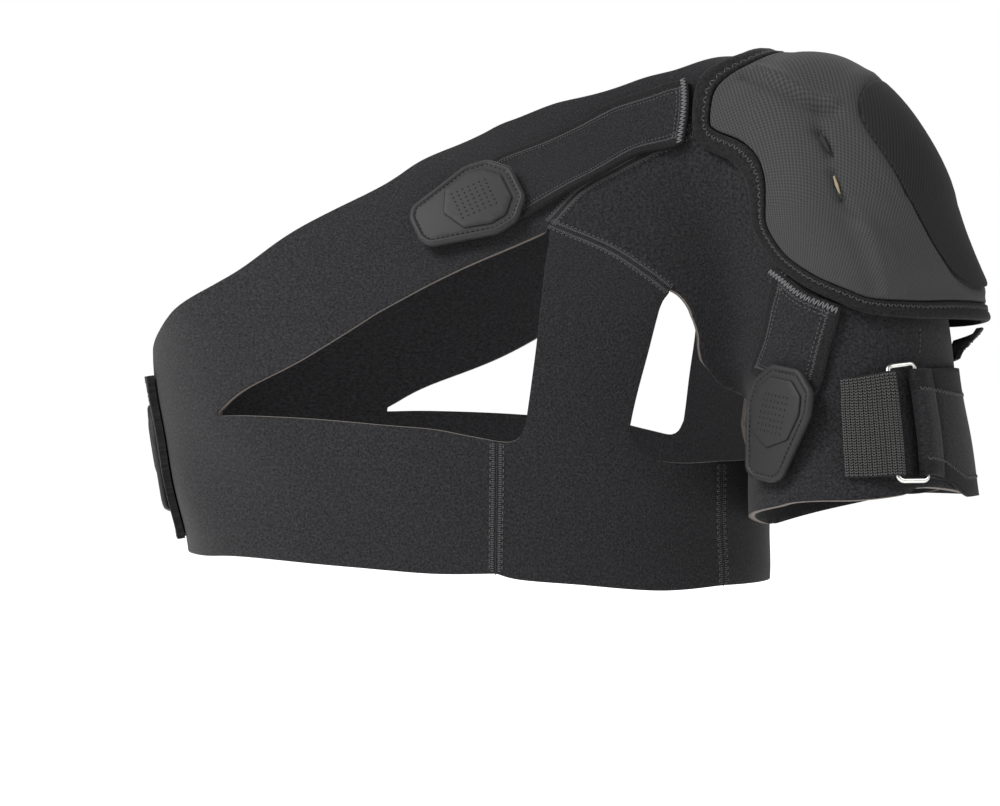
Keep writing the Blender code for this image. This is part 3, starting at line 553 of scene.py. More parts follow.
def cut_cloth(loop, step, rim=RIM, band=False):
    """A flat closed slab: z is 0 below and 1 above, and the row layer counts from the rim.
    As a band, only the rim's rows are kept."""
    bm = bmesh.new()
    row = bm.verts.layers.float.new("row")
    face = bm.faces.new([bm.verts.new((x, y, 0.0)) for x, y in loop])
    for k, (inset, _) in enumerate(rim[1:]):
        bmesh.ops.inset_region(bm, faces=[face], thickness=inset, use_even_offset=True, use_boundary=True)
        for vert in face.verts:
            vert[row] = k + 1
    if band:
        bmesh.ops.delete(bm, geom=[face], context="FACES_ONLY")
    else:
        lattice(bm, [face], step)
    raise_slab(bm, 2, 1.0)
    return bm


def flat_places(bm):
    """Split the last many-sided faces and read every point's flat place."""
    bmesh.ops.triangulate(bm, faces=[f for f in bm.faces if len(f.verts) > 4])
    return np.array([v.co[:] for v in bm.verts])


def turn_outward(bm):
    """Make every face of closed shells look outward, and shade smooth."""
    bm.normal_update()
    bmesh.ops.recalc_face_normals(bm, faces=bm.faces[:])
    if bm.calc_volume(signed=True) < 0.0:
        bmesh.ops.reverse_faces(bm, faces=bm.faces[:])
    for face in bm.faces:
        face.smooth = True


def add_piece(name, node, bm, materials):
    """Mesh to a piece that rides on the one body and stands for its CAD node and finish."""
    mesh = bpy.data.meshes.new(name)
    bm.to_mesh(mesh)
    bm.free()
    for material in materials:
        mesh.materials.append(material)
    piece = bpy.data.objects.new(name, mesh)
    bpy.context.scene.collection.objects.link(piece)
    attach(piece, "root")
    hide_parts(node)
    mesh.calc_loop_triangles()
    print(name, len(mesh.loop_triangles), "triangles")
    return piece


def finish_piece(name, node, bm, placed, flat, slot_of, materials):
    """Placed points, UV map in metres, and a material slot for each face by its corners."""
    bm.verts.index_update()
    uv = bm.loops.layers.uv.new("flat")
    for face in bm.faces:
        face.material_index = slot_of([v.index for v in face.verts])
        for loop in face.loops:
            loop[uv].uv = flat[loop.vert.index, :2]
    for vert, point in zip(bm.verts, placed):
        vert.co = point
    turn_outward(bm)
    return add_piece(name, node, bm, materials)


def slab_slot(top):
    """Slot of a slab's faces: 0 the face, 1 the cut edge, 2 the lining."""
    return lambda corners: 0 if top[corners].all() else 1 if top[corners].any() else 2


def lay_cloth(name, node, bm, skin_of, low, wall, materials, rim=RIM, relief=None, flare=None):
    """Give the slab its lifts, lay it on the form, and make it a piece."""
    row = bm.verts.layers.float["row"]
    flat = flat_places(bm)
    top = flat[:, 2] > 0.5
    drop = np.interp([v[row] for v in bm.verts], np.arange(len(rim)), [d for _, d in rim])
    lift = np.where(top, low + wall - drop, low)
    if relief is not None:
        lift = lift + np.where(top, relief(flat[:, :2]), 0.0)
    if flare is not None:
        lift = lift + flare(flat[:, :2])
    placed = lift_off(skin_of(flat[:, :2]), lift)
    return finish_piece(name, node, bm, placed, flat, slab_slot(top), materials)


print("rim rows:", len(RIM))

# %% [markdown]
# ## Neoprene
# The panels are chloroprene foam with a nylon jersey glued to both faces.  The jersey
# gives a matt black with fine grey grain where its loops catch the light, a little sheen
# at grazing angles, and, where the sheet is cut, a thin grey line of foam.  The grain is
# drawn by nodes on the flat pattern, because a photograph of cloth would carry its own light.

# %% Neoprene materials
def grain(tree, coordinates, pitch):
    """Jersey loops: specks of two sizes, as a 0 to 1 height."""
    fine = add_node(tree, "ShaderNodeTexNoise", {"Vector": coordinates, "Scale": 0.7 / pitch, "Detail": 2.0})
    loops = add_node(tree, "ShaderNodeTexVoronoi", {"Vector": coordinates, "Scale": 1.1 / pitch})
    return add_node(tree, "ShaderNodeMix", {"Factor": 0.35, "A": fine.outputs["Fac"],
                    "B": loops.outputs["Distance"]}, data_type="FLOAT").outputs["Result"]


def hatch(tree, coordinates, pitch, angles=(0.9, -0.35)):
    """Mesh knit: two crossing sets of fine ribs, as a 0 to 1 height."""
    sets = []
    for angle in angles:
        turned = add_node(tree, "ShaderNodeMapping", {"Vector": coordinates, "Rotation": (0.0, 0.0, angle)})
        sets.append(add_node(tree, "ShaderNodeTexWave", {"Vector": turned.outputs["Vector"],
                    "Scale": 0.31416 / pitch, "Distortion": 0.25, "Detail Scale": 2.0}).outputs["Fac"])
    return add_node(tree, "ShaderNodeMix", {"Factor": 0.4, "A": sets[0], "B": sets[1]},
                    data_type="FLOAT").outputs["Result"]


def knit_material(name, dark, light, pitch, relief=0.00015, sheen=0.06, pattern=grain, window=(0.30, 0.70)):
    """Cloth: a fine pattern in colour and bump, dull surface, soft sheen."""
    material, tree, shader = new_material(name, Roughness=0.9, Sheen_Weight=sheen, Sheen_Roughness=0.5,
                                          Specular_IOR_Level=0.12)
    uv = add_node(tree, "ShaderNodeUVMap", uv_map="flat").outputs["UV"]
    height = pattern(tree, uv, pitch)
    ramp = add_node(tree, "ShaderNodeValToRGB", {"Fac": height})
    ramp.color_ramp.elements[0].position, ramp.color_ramp.elements[1].position = window
    ramp.color_ramp.elements[0].color, ramp.color_ramp.elements[1].color = linear(dark), linear(light)
    bump = add_node(tree, "ShaderNodeBump", {"Height": height, "Strength": 0.6, "Distance": relief})
    tree.links.new(ramp.outputs["Color"], shader.inputs["Base Color"])
    tree.links.new(bump.outputs["Normal"], shader.inputs["Normal"])
    return material


# Nylon jersey, weft knitted and glued to the foam's face.  Its loops are about 0.4 mm and
# are drawn at 0.9 mm, so that the grain shows at this distance.
jersey = knit_material("neoprene_jersey_laminated", "#0D0D0E", "#2A2A2C", 0.0009)
# The same jersey glued to the inside, a little plainer and drawn at 1.1 mm.
lining = knit_material("neoprene_lining_laminated", "#0D0D0E", "#202022", 0.0011, sheen=0.03)
# Closed-cell chloroprene foam, bare where the die cut it.  Cells are drawn at about 0.6 mm.
foam, tree, shader = new_material("neoprene_foam_die_cut", Roughness=0.95)
position = add_node(tree, "ShaderNodeTexCoord").outputs["Object"]
pores = add_node(tree, "ShaderNodeTexNoise", {"Vector": position, "Scale": 1800.0, "Detail": 2.0})
ramp = add_node(tree, "ShaderNodeValToRGB", {"Fac": pores.outputs["Fac"]})
ramp.color_ramp.elements[0].color, ramp.color_ramp.elements[1].color = linear("#37322F"), linear("#776F69")
tree.links.new(ramp.outputs["Color"], shader.inputs["Base Color"])
NEOPRENE_SET = (jersey, foam, lining)
print("neoprene:", [material.name for material in NEOPRENE_SET])

# %% [markdown]
# ## Chest and back panels
# Front and back are each one V: the chest band and the strap that climbs to the shoulder
# are cut in one piece, and the two legs join them by flat seams.  The panels meet edge to
# edge, as flat-seamed neoprene does, so nothing overlaps.

# %% Front and back harness
PANEL_STEP = 0.0030
FRONT_EDGES = (HARNESS_UPPER, HARNESS_SEAM, HARNESS_INNER, BAND_TOP, BAND_LOW)


def cloth(node, loop, skin_of, low=SKIN_GAP, wall=NEOPRENE, step=PANEL_STEP,
          materials=NEOPRENE_SET, relief=None, flare=None):
    """Outline to finished cloth that stands for the CAD node of its name."""
    piece = lay_cloth(node + "_cloth", node, cut_cloth(loop, step), skin_of, low, wall,
                      materials, relief=relief, flare=flare)
    return piece


cloth("front_harness", outline(FRONT_EDGES, BODY_TURN_R), body_skin)
cloth("back_harness", outline([flipped(rows) for rows in FRONT_EDGES], BODY_TURN_R), body_skin)

# %% Legs before and behind the arm
LEG_EDGES = (PANEL_CORNER, PANEL_INNER, ARC_SEAM, ARMPIT_EDGE)
cloth("pectoral_panel", outline((*LEG_EDGES, PANEL_LOW), BODY_TURN_R), body_skin)
side_seam = (ARMPIT_EDGE[-1], PANEL_LOW[0])
cloth("scapular_panel", outline([*map(flipped, LEG_EDGES), side_seam, flipped(PANEL_LOW)], BODY_TURN_R),
      body_skin)

# %% [markdown]
# ## Sleeve
# The sleeve is one sheet over the shoulder whose ends close into a cuff below the armpit.
# It is cut flat on the sleeve chart, and its two straight ends are merged once they lie
# together under the arm.

# %% Sleeve
tables = [edge(SLEEVE_LOW, SLEEVE_TURN_R), edge(mirrored(SLEEVE_LOW), SLEEVE_TURN_R),
          edge(flipped(ARMHOLE), SLEEVE_TURN_R),
          to_sleeve(edge(flipped(ARC_SEAM), BODY_TURN_R)[::-1]),
          to_sleeve(edge(flipped(HARNESS_SEAM), BODY_TURN_R)[::-1]),
          to_sleeve(edge(HARNESS_SEAM, BODY_TURN_R)), to_sleeve(edge(ARC_SEAM, BODY_TURN_R)),
          edge(ARMHOLE[::-1], SLEEVE_TURN_R)]
start, finish = -np.pi / 2.0 * SLEEVE_TURN_R, 3.0 * np.pi / 2.0 * SLEEVE_TURN_R
wide = join(tables)
sleeve_loop = shrink(wide, SEAM_GAP / 2.0)
for before, after in zip(wide, sleeve_loop):
    for end in (start, finish):
        if abs(before[0] - end) < 1e-6:
            after[0] = end
bm = cut_cloth(sleeve_loop, PANEL_STEP, rim=RIM[:1])
ends = [f for f in bm.faces if all(abs(v.co.x - start) < 1e-6 for v in f.verts)
        or all(abs(v.co.x - finish) < 1e-6 for v in f.verts)]
bmesh.ops.delete(bm, geom=ends, context="FACES")
flat = flat_places(bm)
top = flat[:, 2] > 0.5
placed = lift_off(sleeve_skin(flat[:, :2]), np.where(top, SKIN_GAP + NEOPRENE, SKIN_GAP))
sleeve = finish_piece("shoulder_sleeve_cloth", "shoulder_sleeve", bm, placed, flat,
                      slab_slot(top), NEOPRENE_SET)
bm = bmesh.new()
bm.from_mesh(sleeve.data)
bmesh.ops.remove_doubles(bm, verts=bm.verts[:], dist=3e-5)
turn_outward(bm)
bm.to_mesh(sleeve.data)
bm.free()

# %% [markdown]
# ## Shoulder pad
# The pad is a pressed foam moulding under spacer-mesh cloth: thick in the middle, thin
# where it is bound.  A lip and creases are pressed into it towards the neck, with two
# slits along a shallow valley and soft ribs below.  All are drawn as lines on the flat
# pad, each with a height and a width, and the back half repeats the front.  The outer
# side dips for the leaf.  Sculpting would give the same, but not from a table.

# %% Pad relief
PAD_LINES = (
    # points (turn, along), height, half width
    (((73.2, 0.440), (69.9, 0.412), (67.5, 0.385), (67.5, 0.367), (68.6, 0.358)), 0.0034, 0.0019),
    (((70.9, 0.446), (67.6, 0.414), (65.4, 0.388), (65.0, 0.366), (66.0, 0.350)), -0.0029, 0.0016),
    (((66.2, 0.365), (62.7, 0.355), (59.5, 0.347)), -0.0018, 0.0020),
    (((59.5, 0.347), (57.2, 0.335), (55.1, 0.322)), -0.0030, 0.0014),
    (((51.9, 0.310), (50.3, 0.300), (48.5, 0.286)), -0.0030, 0.0014),
    (((48.2, 0.283), (47.6, 0.271), (47.8, 0.261)), -0.0018, 0.0013),
    (((47.8, 0.261), (46.5, 0.239), (42.4, 0.197), (39.7, 0.158)), 0.0020, 0.0032),
    (((46.9, 0.244), (48.6, 0.206), (45.4, 0.160)), 0.0016, 0.0032),
    (((43.5, 0.255), (38.5, 0.205), (35.8, 0.170)), -0.0012, 0.0036),
    (((66.0, 0.365), (55.0, 0.325), (47.6, 0.271)), -0.0030, 0.0075),
)
PAD_CROWN_RUN = 0.014       # from the bound edge to the pad's full thickness
LEAF_DIP = 0.0011


def inside(flat, loop):
    """True where flat points lie inside a closed outline."""
    x, y = flat[:, 0], flat[:, 1]
    odd = np.zeros(len(flat), dtype=bool)
    for a, b in zip(loop, loop[1:] + loop[:1]):
        if abs(b[1] - a[1]) > 1e-12:
            cross = (a[1] > y) != (b[1] > y)
            odd ^= cross & (x < (b[0] - a[0]) * (y - a[1]) / (b[1] - a[1]) + a[0])
    return odd


def fold_to_front(flat):
    """Back half of the sleeve chart read as its front half."""
    middle = np.pi / 2.0 * SLEEVE_TURN_R
    return np.stack((middle - np.abs(flat[:, 0] - middle), flat[:, 1]), axis=-1)


def flare_round(flat):
    """How the pad's stand-off fades round the arm from its low rear corner."""
    return PAD_FLARE * np.exp(-((np.degrees(flat[:, 0] / SLEEVE_TURN_R) - 112.0) / 38.0) ** 2)


def pad_flare(flat):
    """How far the pad stands off near its low rear corner."""
    return flare_round(flat) * smooth_step((0.085 - flat[:, 1]) / 0.060)


pad_loop = outline((PAD_OUTLINE, mirrored(PAD_OUTLINE)), SLEEVE_TURN_R, 0.0)
leaf_loop = outline((LEAF_OUTLINE, mirrored(LEAF_OUTLINE)), SLEEVE_TURN_R, 0.0)
face_loop = shrink(pad_loop, BINDING_WIDTH + 0.0002)


def pad_relief(flat):
    """Height of the pad's face above its bound edge."""
    half = fold_to_front(flat)
    near, _ = line_distance(flat, face_loop, closed=True)
    height = (PAD - PAD_EDGE) * smooth_step(near / PAD_CROWN_RUN) ** 0.8
    for points, tall, width in PAD_LINES:
        gap, _ = line_distance(half, edge(points, SLEEVE_TURN_R, 0.002))
        height = height + tall * np.exp(-(gap / width) ** 2)
    gap, _ = line_distance(flat, leaf_loop, closed=True)
    gap = np.where(inside(flat, leaf_loop), gap, -gap)
    height = height - LEAF_DIP * smooth_step((gap + 0.0010) / 0.0012)
    return height + 0.0007 * np.exp(-((gap + 0.0030) / 0.0012) ** 2)


print("pad lines:", len(PAD_LINES))

# %% Pad materials
# Polyester spacer mesh, warp knitted and heat-pressed onto the foam.  Its ribs stand about
# 0.5 mm apart and are drawn at 0.9 mm, or they would be too fine to show.
pad_mesh = knit_material("spacer_mesh_knit_pressed", "#2C2C2D", "#404041", 0.0009, relief=0.0002, sheen=0.04,
                         pattern=hatch, window=(0.10, 0.90))
# Polyester tape, woven narrow and folded over the edge; its 0.4 mm weave is drawn at 0.7 mm.
tape_mat = knit_material("binding_tape_woven", "#0C0C0D", "#222223", 0.0007, relief=0.0002, sheen=0.04)
# Smooth knit with a film behind it, laminated flat and die-cut; drawn at 0.9 mm as the mesh is.
leaf_mat = knit_material("leaf_sheet_laminated", "#171718", "#29292A", 0.0009, relief=0.0001, sheen=0.02,
                         pattern=hatch, window=(0.10, 0.90))
# Polyester thread, spun from short fibre and dyed black, dark grey and grey.
dark_thread = new_material("thread_polyester_black_spun", "#0D0D0E", Roughness=0.8)[0]
thread = new_material("thread_polyester_spun", "#333335", Roughness=0.7)[0]
pale_thread = new_material("thread_polyester_grey_spun", "#5C5C5E", Roughness=0.6)[0]
print("threads:", [material.name for material in (dark_thread, thread, pale_thread)])

# %% Pad
PAD_STEP = 0.0010
PAD_RIM = ((0.0, 0.0011), (0.0003, 0.0005), (0.0006, 0.0001))      # inset, drop below the face
pad = lay_cloth("shoulder_pad_cloth", "shoulder_pad", cut_cloth(face_loop, PAD_STEP, PAD_RIM),
                sleeve_skin, PAD_BASE, PAD_EDGE, (pad_mesh, pad_mesh, lining), PAD_RIM, pad_relief, pad_flare)

# %% [markdown]
# ## Binding and leaf
# The tape folds round the foam's edge, and a zigzag seam holds it down, so it shows a
# smooth outer roll, a sunk seam, and a thin raised pipe against the pad's face.  The tape
# gathers a little along its length.  A swept profile would pinch in the corners, so the
# tape is the rows of the pad's own rim.  The leaf is a thin smooth sheet in a pressed dip.

# %% Binding
BINDING_ROWS = (
    # step inwards, drop below the tape's top
    (0.0, 0.0022), (0.0003, 0.0011), (0.0006, 0.0003), (0.0009, 0.0), (0.0011, 0.0002),
    (0.0009, 0.0008), (0.0005, 0.0009), (0.0005, 0.0002), (0.0005, 0.0), (0.0005, 0.0004), (0.0004, 0.0014),
)


def tape_gather(flat):
    """Small gathers along the tape."""
    near, run = line_distance(flat, pad_loop, closed=True)
    return 0.00016 * np.sin(run / 0.0052 * 2.0 * np.pi + np.sin(run / 0.031)) * (near > 0.0004)


tape = lay_cloth("pad_binding_tape", "pad_binding",
                 cut_cloth(pad_loop, PAD_STEP, BINDING_ROWS, band=True), sleeve_skin, PAD_BASE, PAD_EDGE,
                 (tape_mat, tape_mat, tape_mat), BINDING_ROWS, tape_gather, pad_flare)

# %% Leaf
THIN_STEP = 0.0022          # lattice of thin, gently bent pieces
leaf = lay_cloth("pad_leaf_sheet", "pad_leaf", cut_cloth(leaf_loop, THIN_STEP), sleeve_skin,
                 PAD_BASE + PAD - LEAF_DIP + 0.0003, LEAF, (leaf_mat, leaf_mat, leaf_mat), flare=pad_flare)

# %% [markdown]
# ## Straps and side flap
# The straps are the same neoprene, cut 2.5 mm thick, with a bound hem that stands up from
# the face and a dip where the stitches pull it down.  The hem is relief on the flat
# pattern, measured from the strap's own edge, so it follows every corner.

# %% Straps
HEM = 0.0044                # width of a bound hem
REAR_STRAP_END = 0.0162     # where the rear strap meets the sleeve


def hem_relief(loop):
    """Raised hem, then a dip along its seam."""
    def relief(flat):
        gap, run = line_distance(flat, loop, closed=True)
        hem = 0.0006 * (1.0 - smooth_step((gap - HEM) / 0.0008))
        hem = hem - 0.0003 * np.exp(-((gap - HEM) / 0.0006) ** 2)
        return hem + 0.0001 * np.sin(run / 0.0045 * 2.0 * np.pi) * (gap < HEM)
    return relief


def bind_hem(piece, loop):
    """Give the faces of the hem the binding tape."""
    mesh = piece.data
    uv = np.empty(len(mesh.loops) * 2)
    mesh.uv_layers["flat"].data.foreach_get("uv", uv)
    uv = uv.reshape(-1, 2)
    centres = np.array([uv[list(face.loop_indices)].mean(axis=0) for face in mesh.polygons])
    gap, _ = line_distance(centres, loop, closed=True)
    for face, near in zip(mesh.polygons, gap):
        if face.material_index == 0 and near < HEM:
            face.material_index = 1


def strap_flare(flat):
    """Rear strap: from the pad's stand-off down to the sleeve."""
    low = smooth_step((flat[:, 1] - REAR_STRAP_END) / (0.028 - REAR_STRAP_END))
    return flare_round(flat) * low * 0.94


STRAP_STEP = 0.0016
STRAPS = {
    # node: outline, chart, underside, wall, lattice, flare
    "upper_pad_strap": (outline((UPPER_STRAP, UPPER_STRAP_LOW), BODY_TURN_R), body_skin, OVER, STRAP,
                        STRAP_STEP, None),
    "lower_pad_strap": (outline((LOWER_STRAP, LOWER_STRAP_EDGE, LOWER_STRAP_TOP), SLEEVE_TURN_R), sleeve_skin,
                        OVER, STRAP, STRAP_STEP, None),
    "rear_pad_strap": (outline((REAR_STRAP, REAR_STRAP_LOW), SLEEVE_TURN_R), sleeve_skin, OVER, STRAP,
                       STRAP_STEP, strap_flare),
    "closure_flap": (outline((FLAP_FRONT, FLAP_BACK), BODY_TURN_R), body_skin, OVER + 0.0002, FLAP,
                     THIN_STEP, None),
}
for node, (loop, skin_of, low, wall, step, flare) in STRAPS.items():
    piece = cloth(node, loop, skin_of, low, wall, step, (jersey, tape_mat, lining),
                  hem_relief(loop), flare)
    bind_hem(piece, loop)

# %% [markdown]
# ## Stitching
# Neoprene is sewn edge to edge with flatlock seams: two ladders of cross threads with a
# groove between.  Bound edges carry a zigzag, and hems a plain lockstitch.  Each stitch
# is a small closed ellipsoid set along a line of the flat pattern, which keeps a seam of
# hundreds of stitches light and lets it follow every bend.

# %% Stitches
THREAD = 0.00034            # half the thickness of a stitch, drawn thicker than real thread
ZIGZAG = 52.0               # lean of a zigzag stitch in degrees
BATCH = 24                  # stitches made in one go: the sphere operator slows as a mesh grows


def walk(line, pitch, closed=False):
    """Even points along a line with the direction at each."""
    line = np.array(list(line) + ([line[0]] if closed else []))
    run = np.concatenate(([0.0], np.cumsum(np.linalg.norm(np.diff(line, axis=0), axis=1))))

    def at(distance):
        return np.stack([np.interp(distance, run, line[:, k]) for k in (0, 1)], axis=1)

    middle = np.arange(pitch / 2.0, run[-1], pitch)
    along = at(np.minimum(middle + 0.0004, run[-1])) - at(np.maximum(middle - 0.0004, 0.0))
    return at(middle), along / np.linalg.norm(along, axis=1)[:, None]


def stitch_marks(line, pitch, length, angle, offset=0.0, zigzag=False, closed=False):
    """Flat centres and half vectors of the stitches along a line."""
    points, along = walk(line, pitch, closed)
    across = np.stack((-along[:, 1], along[:, 0]), axis=1)
    turn = np.full(len(points), np.radians(angle))
    if zigzag:
        turn[::2] *= -1.0
    half = (along * np.cos(turn)[:, None] + across * np.sin(turn)[:, None]) * length / 2.0
    return points + across * offset, half


def thread_bmesh(centres, halves, normals, thick=THREAD):
    """One ellipsoid for each stitch, made in small batches and then gathered."""
    whole = bmesh.new()
    batch = bpy.data.meshes.new("stitch_batch")
    stitches = list(zip(centres, halves, normals))
    for first in range(0, len(stitches), BATCH):
        bm = bmesh.new()
        for centre, half, normal in stitches[first:first + BATCH]:
            size = np.linalg.norm(half)
            x = half / size
            y = np.cross(normal, x)
            y = y / np.linalg.norm(y)
            turn = Matrix((x * size, y * thick * 1.25, np.cross(x, y) * thick)).transposed().to_4x4()
            bmesh.ops.create_uvsphere(bm, u_segments=6, v_segments=4, radius=1.0,
                                      matrix=Matrix.Translation(centre) @ turn)
        bm.to_mesh(batch)
        bm.free()
        whole.from_mesh(batch)
    bpy.data.meshes.remove(batch)
    for face in whole.faces:
        face.smooth = True
    return whole


def sew(name, node, skin_of, marks, lift, flare=None, thick=THREAD, material=thread):
    """Lay stitches on the form as one piece of the node they hold."""
    points = np.concatenate([m[0] for m in marks])
    halves = np.concatenate([m[1] for m in marks])
    raised = np.zeros(len(points)) + lift + thick * 0.3
    if flare is not None:
        raised = raised + flare(points)
    a = lift_off(skin_of(points - halves * 0.5), raised)
    b = lift_off(skin_of(points + halves * 0.5), raised)
    skin = skin_of(points)
    bm = thread_bmesh(lift_off(skin, raised), b - a, form_normal(skin), thick)
    return add_piece(name, node, bm, (material,))


def ladder(line):
    """Two ladders of cross threads beside a seam, each with a fine outer row."""
    rows = [stitch_marks(line, 0.0011, 0.0027, 90.0, offset) for offset in (-0.0021, 0.0021)]
    return rows + [stitch_marks(line, 0.0030, 0.0024, 0.0, offset) for offset in (-0.0037, 0.0037)]


print("stitches in 100 mm of zigzag:", len(stitch_marks(((0.0, 0.0), (0.1, 0.0)), 0.0013, 0.0021, ZIGZAG)[0]))

# %% [markdown]
# ## Pull tabs
# Each tab is a moulded rubber plate, wide at one end.  A rounded bead runs round it, with
# a sunk seam line inside, a raised plateau over the wide half and a grid of grip dots.
# The plate starts as one face with its corners rounded, and insets give each step, as a
# mould maker would cut them.  Cutting them by booleans would leave ragged faces.

# %% Tabs
TAB_WIDTH, TAB_LENGTH = 0.0440, 0.0570
CHEST_TAB = ((-0.0098, 0.0712), (-0.0229, 0.0604))      # centre, then a point towards the narrow end
ARM_TAB = ((-0.0136, -0.0098), (-0.0170, -0.0248))
SIDE_TAB = ((-0.1895, -0.0735), (-0.1883, -0.0935))
TAB_PLATEAU_OUTLINE = ((0.17, -0.390), (0.345, -0.275), (0.375, -0.125), (0.285, 0.110), (0.0, 0.215))
TAB_ROWS = (
    # step inwards, rise
    (0.0006, 0.0005), (0.0007, 0.0003), (0.0008, 0.0), (0.0005, -0.0005), (0.0005, -0.0003), (0.0008, 0.0001),
)
PLATEAU_ROWS = ((0.0005, 0.0004), (0.0004, 0.0001))
TAB_CORNER, PLATEAU_CORNER, PLATEAU_WALL, TAB_STEP = 0.0024, 0.0012, 0.0013, 0.003
DOT_RADIUS, DOT_ACROSS, DOT_ALONG = 0.00055, 0.0026, 0.0030

# Soft black rubber, compression moulded; the mould's blasted face leaves 0.4 mm specks.
rubber, tree, shader = new_material("tab_rubber_moulded", "#1D1D1E", Roughness=0.62, Specular_IOR_Level=0.35)
position = add_node(tree, "ShaderNodeTexCoord").outputs["Object"]
speck = add_node(tree, "ShaderNodeTexNoise", {"Vector": position, "Scale": 2600.0, "Detail": 2.0})
bump = add_node(tree, "ShaderNodeBump", {"Height": speck.outputs["Fac"], "Strength": 0.35,
                "Distance": 0.0001})
tree.links.new(bump.outputs["Normal"], shader.inputs["Normal"])


def tab_ring(half_outline):
    """Half outline shares to a whole ring in metres."""
    half = [np.array(row) * (TAB_WIDTH, TAB_LENGTH) for row in half_outline]
    return half + [row * (-1.0, 1.0) for row in half[::-1] if row[0] > 1e-9]


def raised_plate(ring, corner, rows, low, wall):
    """Closed plate: one face extruded, then inset step by step."""
    bm = bmesh.new()
    corners = [bm.verts.new((x, y, low)) for x, y in ring]
    bm.faces.new(corners)
    bmesh.ops.bevel(bm, geom=corners, offset=corner, segments=5, profile=0.5, affect="VERTICES", material=-1)
    face = max(bm.faces, key=lambda f: f.calc_area())
    if face.normal.z < 0.0:
        face.normal_flip()
    made = bmesh.ops.extrude_face_region(bm, geom=[face], use_keep_orig=True)
    top = [g for g in made["geom"] if isinstance(g, bmesh.types.BMFace)][0]
    for vert in top.verts:
        vert.co.z = low + wall
    bmesh.ops.recalc_face_normals(bm, faces=bm.faces[:])
    for inset, rise in rows:
        bmesh.ops.inset_region(bm, faces=[top], thickness=inset, depth=rise)
    lattice(bm, [top], TAB_STEP)
    return bm


def pull_tab(node, skin_of, frame_points, lift, bend_radius, long_radius):
    """Tab plate, plateau, dots and its seam, bent once and set on the brace."""
    skin = skin_of(np.array(frame_points))
    place = lift_off(skin, np.full(2, lift))
    normal = form_normal(skin[:1])[0]
    along = place[1] - place[0]
    along = along - normal * (along @ normal)
    along = along / np.linalg.norm(along)
    across = np.cross(along, normal)
    ring = tab_ring(TAB_OUTLINE)

    plate = raised_plate(ring, TAB_CORNER, TAB_ROWS, 0.0, TAB - 0.0008)
    plateau = raised_plate(tab_ring(TAB_PLATEAU_OUTLINE), PLATEAU_CORNER, PLATEAU_ROWS, TAB - 0.0012,
                           PLATEAU_WALL)
    dots = bmesh.new()
    for i in range(-3, 4):
        for j in range(-3, 4):
            spot = Matrix.Translation((i * DOT_ACROSS, (j - 1.2) * DOT_ALONG - 0.001, TAB + 0.0006))
            bmesh.ops.create_uvsphere(dots, u_segments=6, v_segments=4, radius=DOT_RADIUS, matrix=spot)
    points, halves = stitch_marks(shrink(ring, 0.0031), 0.0025, 0.0018, 0.0, closed=True)
    level = np.full((len(points), 1), TAB - 0.0007)
    seam = thread_bmesh(np.hstack((points, level)), np.hstack((halves, level * 0.0)),
                        np.tile((0.0, 0.0, 1.0), (len(points), 1)))
    for part, bm, material in (("plate", plate, rubber), ("plateau", plateau, rubber), ("dots", dots, rubber),
                               ("seam", seam, dark_thread)):
        for vert in bm.verts:
            drop = vert.co.x ** 2 / (2.0 * bend_radius) + vert.co.y ** 2 / (2.0 * long_radius)
            vert.co = place[0] + across * vert.co.x + along * vert.co.y + normal * (vert.co.z - drop)
        turn_outward(bm)
        add_piece(f"{node}_{part}", node, bm, (material,))


pull_tab("chest_tab", body_skin, CHEST_TAB, OVER + STRAP + LAYER_GAP, 0.120, 0.300)
pull_tab("arm_tab", sleeve_skin, ARM_TAB, OVER + STRAP + LAYER_GAP + 0.0009, 0.130, 0.400)
pull_tab("side_tab", body_skin, SIDE_TAB, OVER + 0.0003 + FLAP + LAYER_GAP, 0.085, 2.000)

# %% [markdown]
# ## Webbing and arm strap
# Both ribbons are folded round one bar of the metal loop and come back over themselves.
# The section is drawn once as distance from the bar and lift, swept along the bar, and
# laid on the sleeve chart, so that both ribbons keep their thickness through the fold.

# %% Ribbons
BAR_LEFT, BAR_RIGHT = 30.0, 42.0
LOOP_LOW, LOOP_HIGH, LOOP_CORNER = -0.0374, 0.0146, 0.0022
RIBBON_LOW, RIBBON_HIGH, STRAP_FALL = -0.0351, 0.0124, 0.0105
WEB_LIFT = OVER + RIBBON / 2.0
LOOP_LIFT = OVER + RIBBON + 0.0003 + LOOP_WIRE
FOLD_R = LOOP_WIRE + 0.0003 + RIBBON / 2.0
FOLD_PATH = (
    # distance behind the bar, lift
    (-0.0030, WEB_LIFT), (0.0, WEB_LIFT), (FOLD_R * 0.71, LOOP_LIFT - FOLD_R * 0.71), (FOLD_R, LOOP_LIFT),
    (FOLD_R * 0.71, LOOP_LIFT + FOLD_R * 0.71), (0.0, LOOP_LIFT + FOLD_R),
    (-0.0030, LOOP_LIFT + FOLD_R - 0.0006), (-0.0070, LOOP_LIFT + FOLD_R - 0.0026),
    (-0.0110, WEB_LIFT + 0.0006), (-0.0150, WEB_LIFT),
)
# Rubber-cored ground of the webbing, crochet knitted; its 0.5 mm cords are drawn at 1 mm.
webbing_mat = knit_material("webbing_elastic_knitted", "#101011", "#1E1E20", 0.0010)
# Textured polyester yarn, knitted over the ground in V stitches.
yarn = new_material("webbing_yarn_knitted", "#4A4A48", Roughness=0.75, Specular_IOR_Level=0.25)[0]
# Steel wire, bent and butt-welded, nickel plated and tumbled.
steel = new_material("loop_steel_nickel_plated", "#C8C8C4", Roughness=0.28, Metallic=1.0)[0]


def bar_at(turn):
    """Flat place of a bar of the loop."""
    return np.radians(turn) * SLEEVE_TURN_R


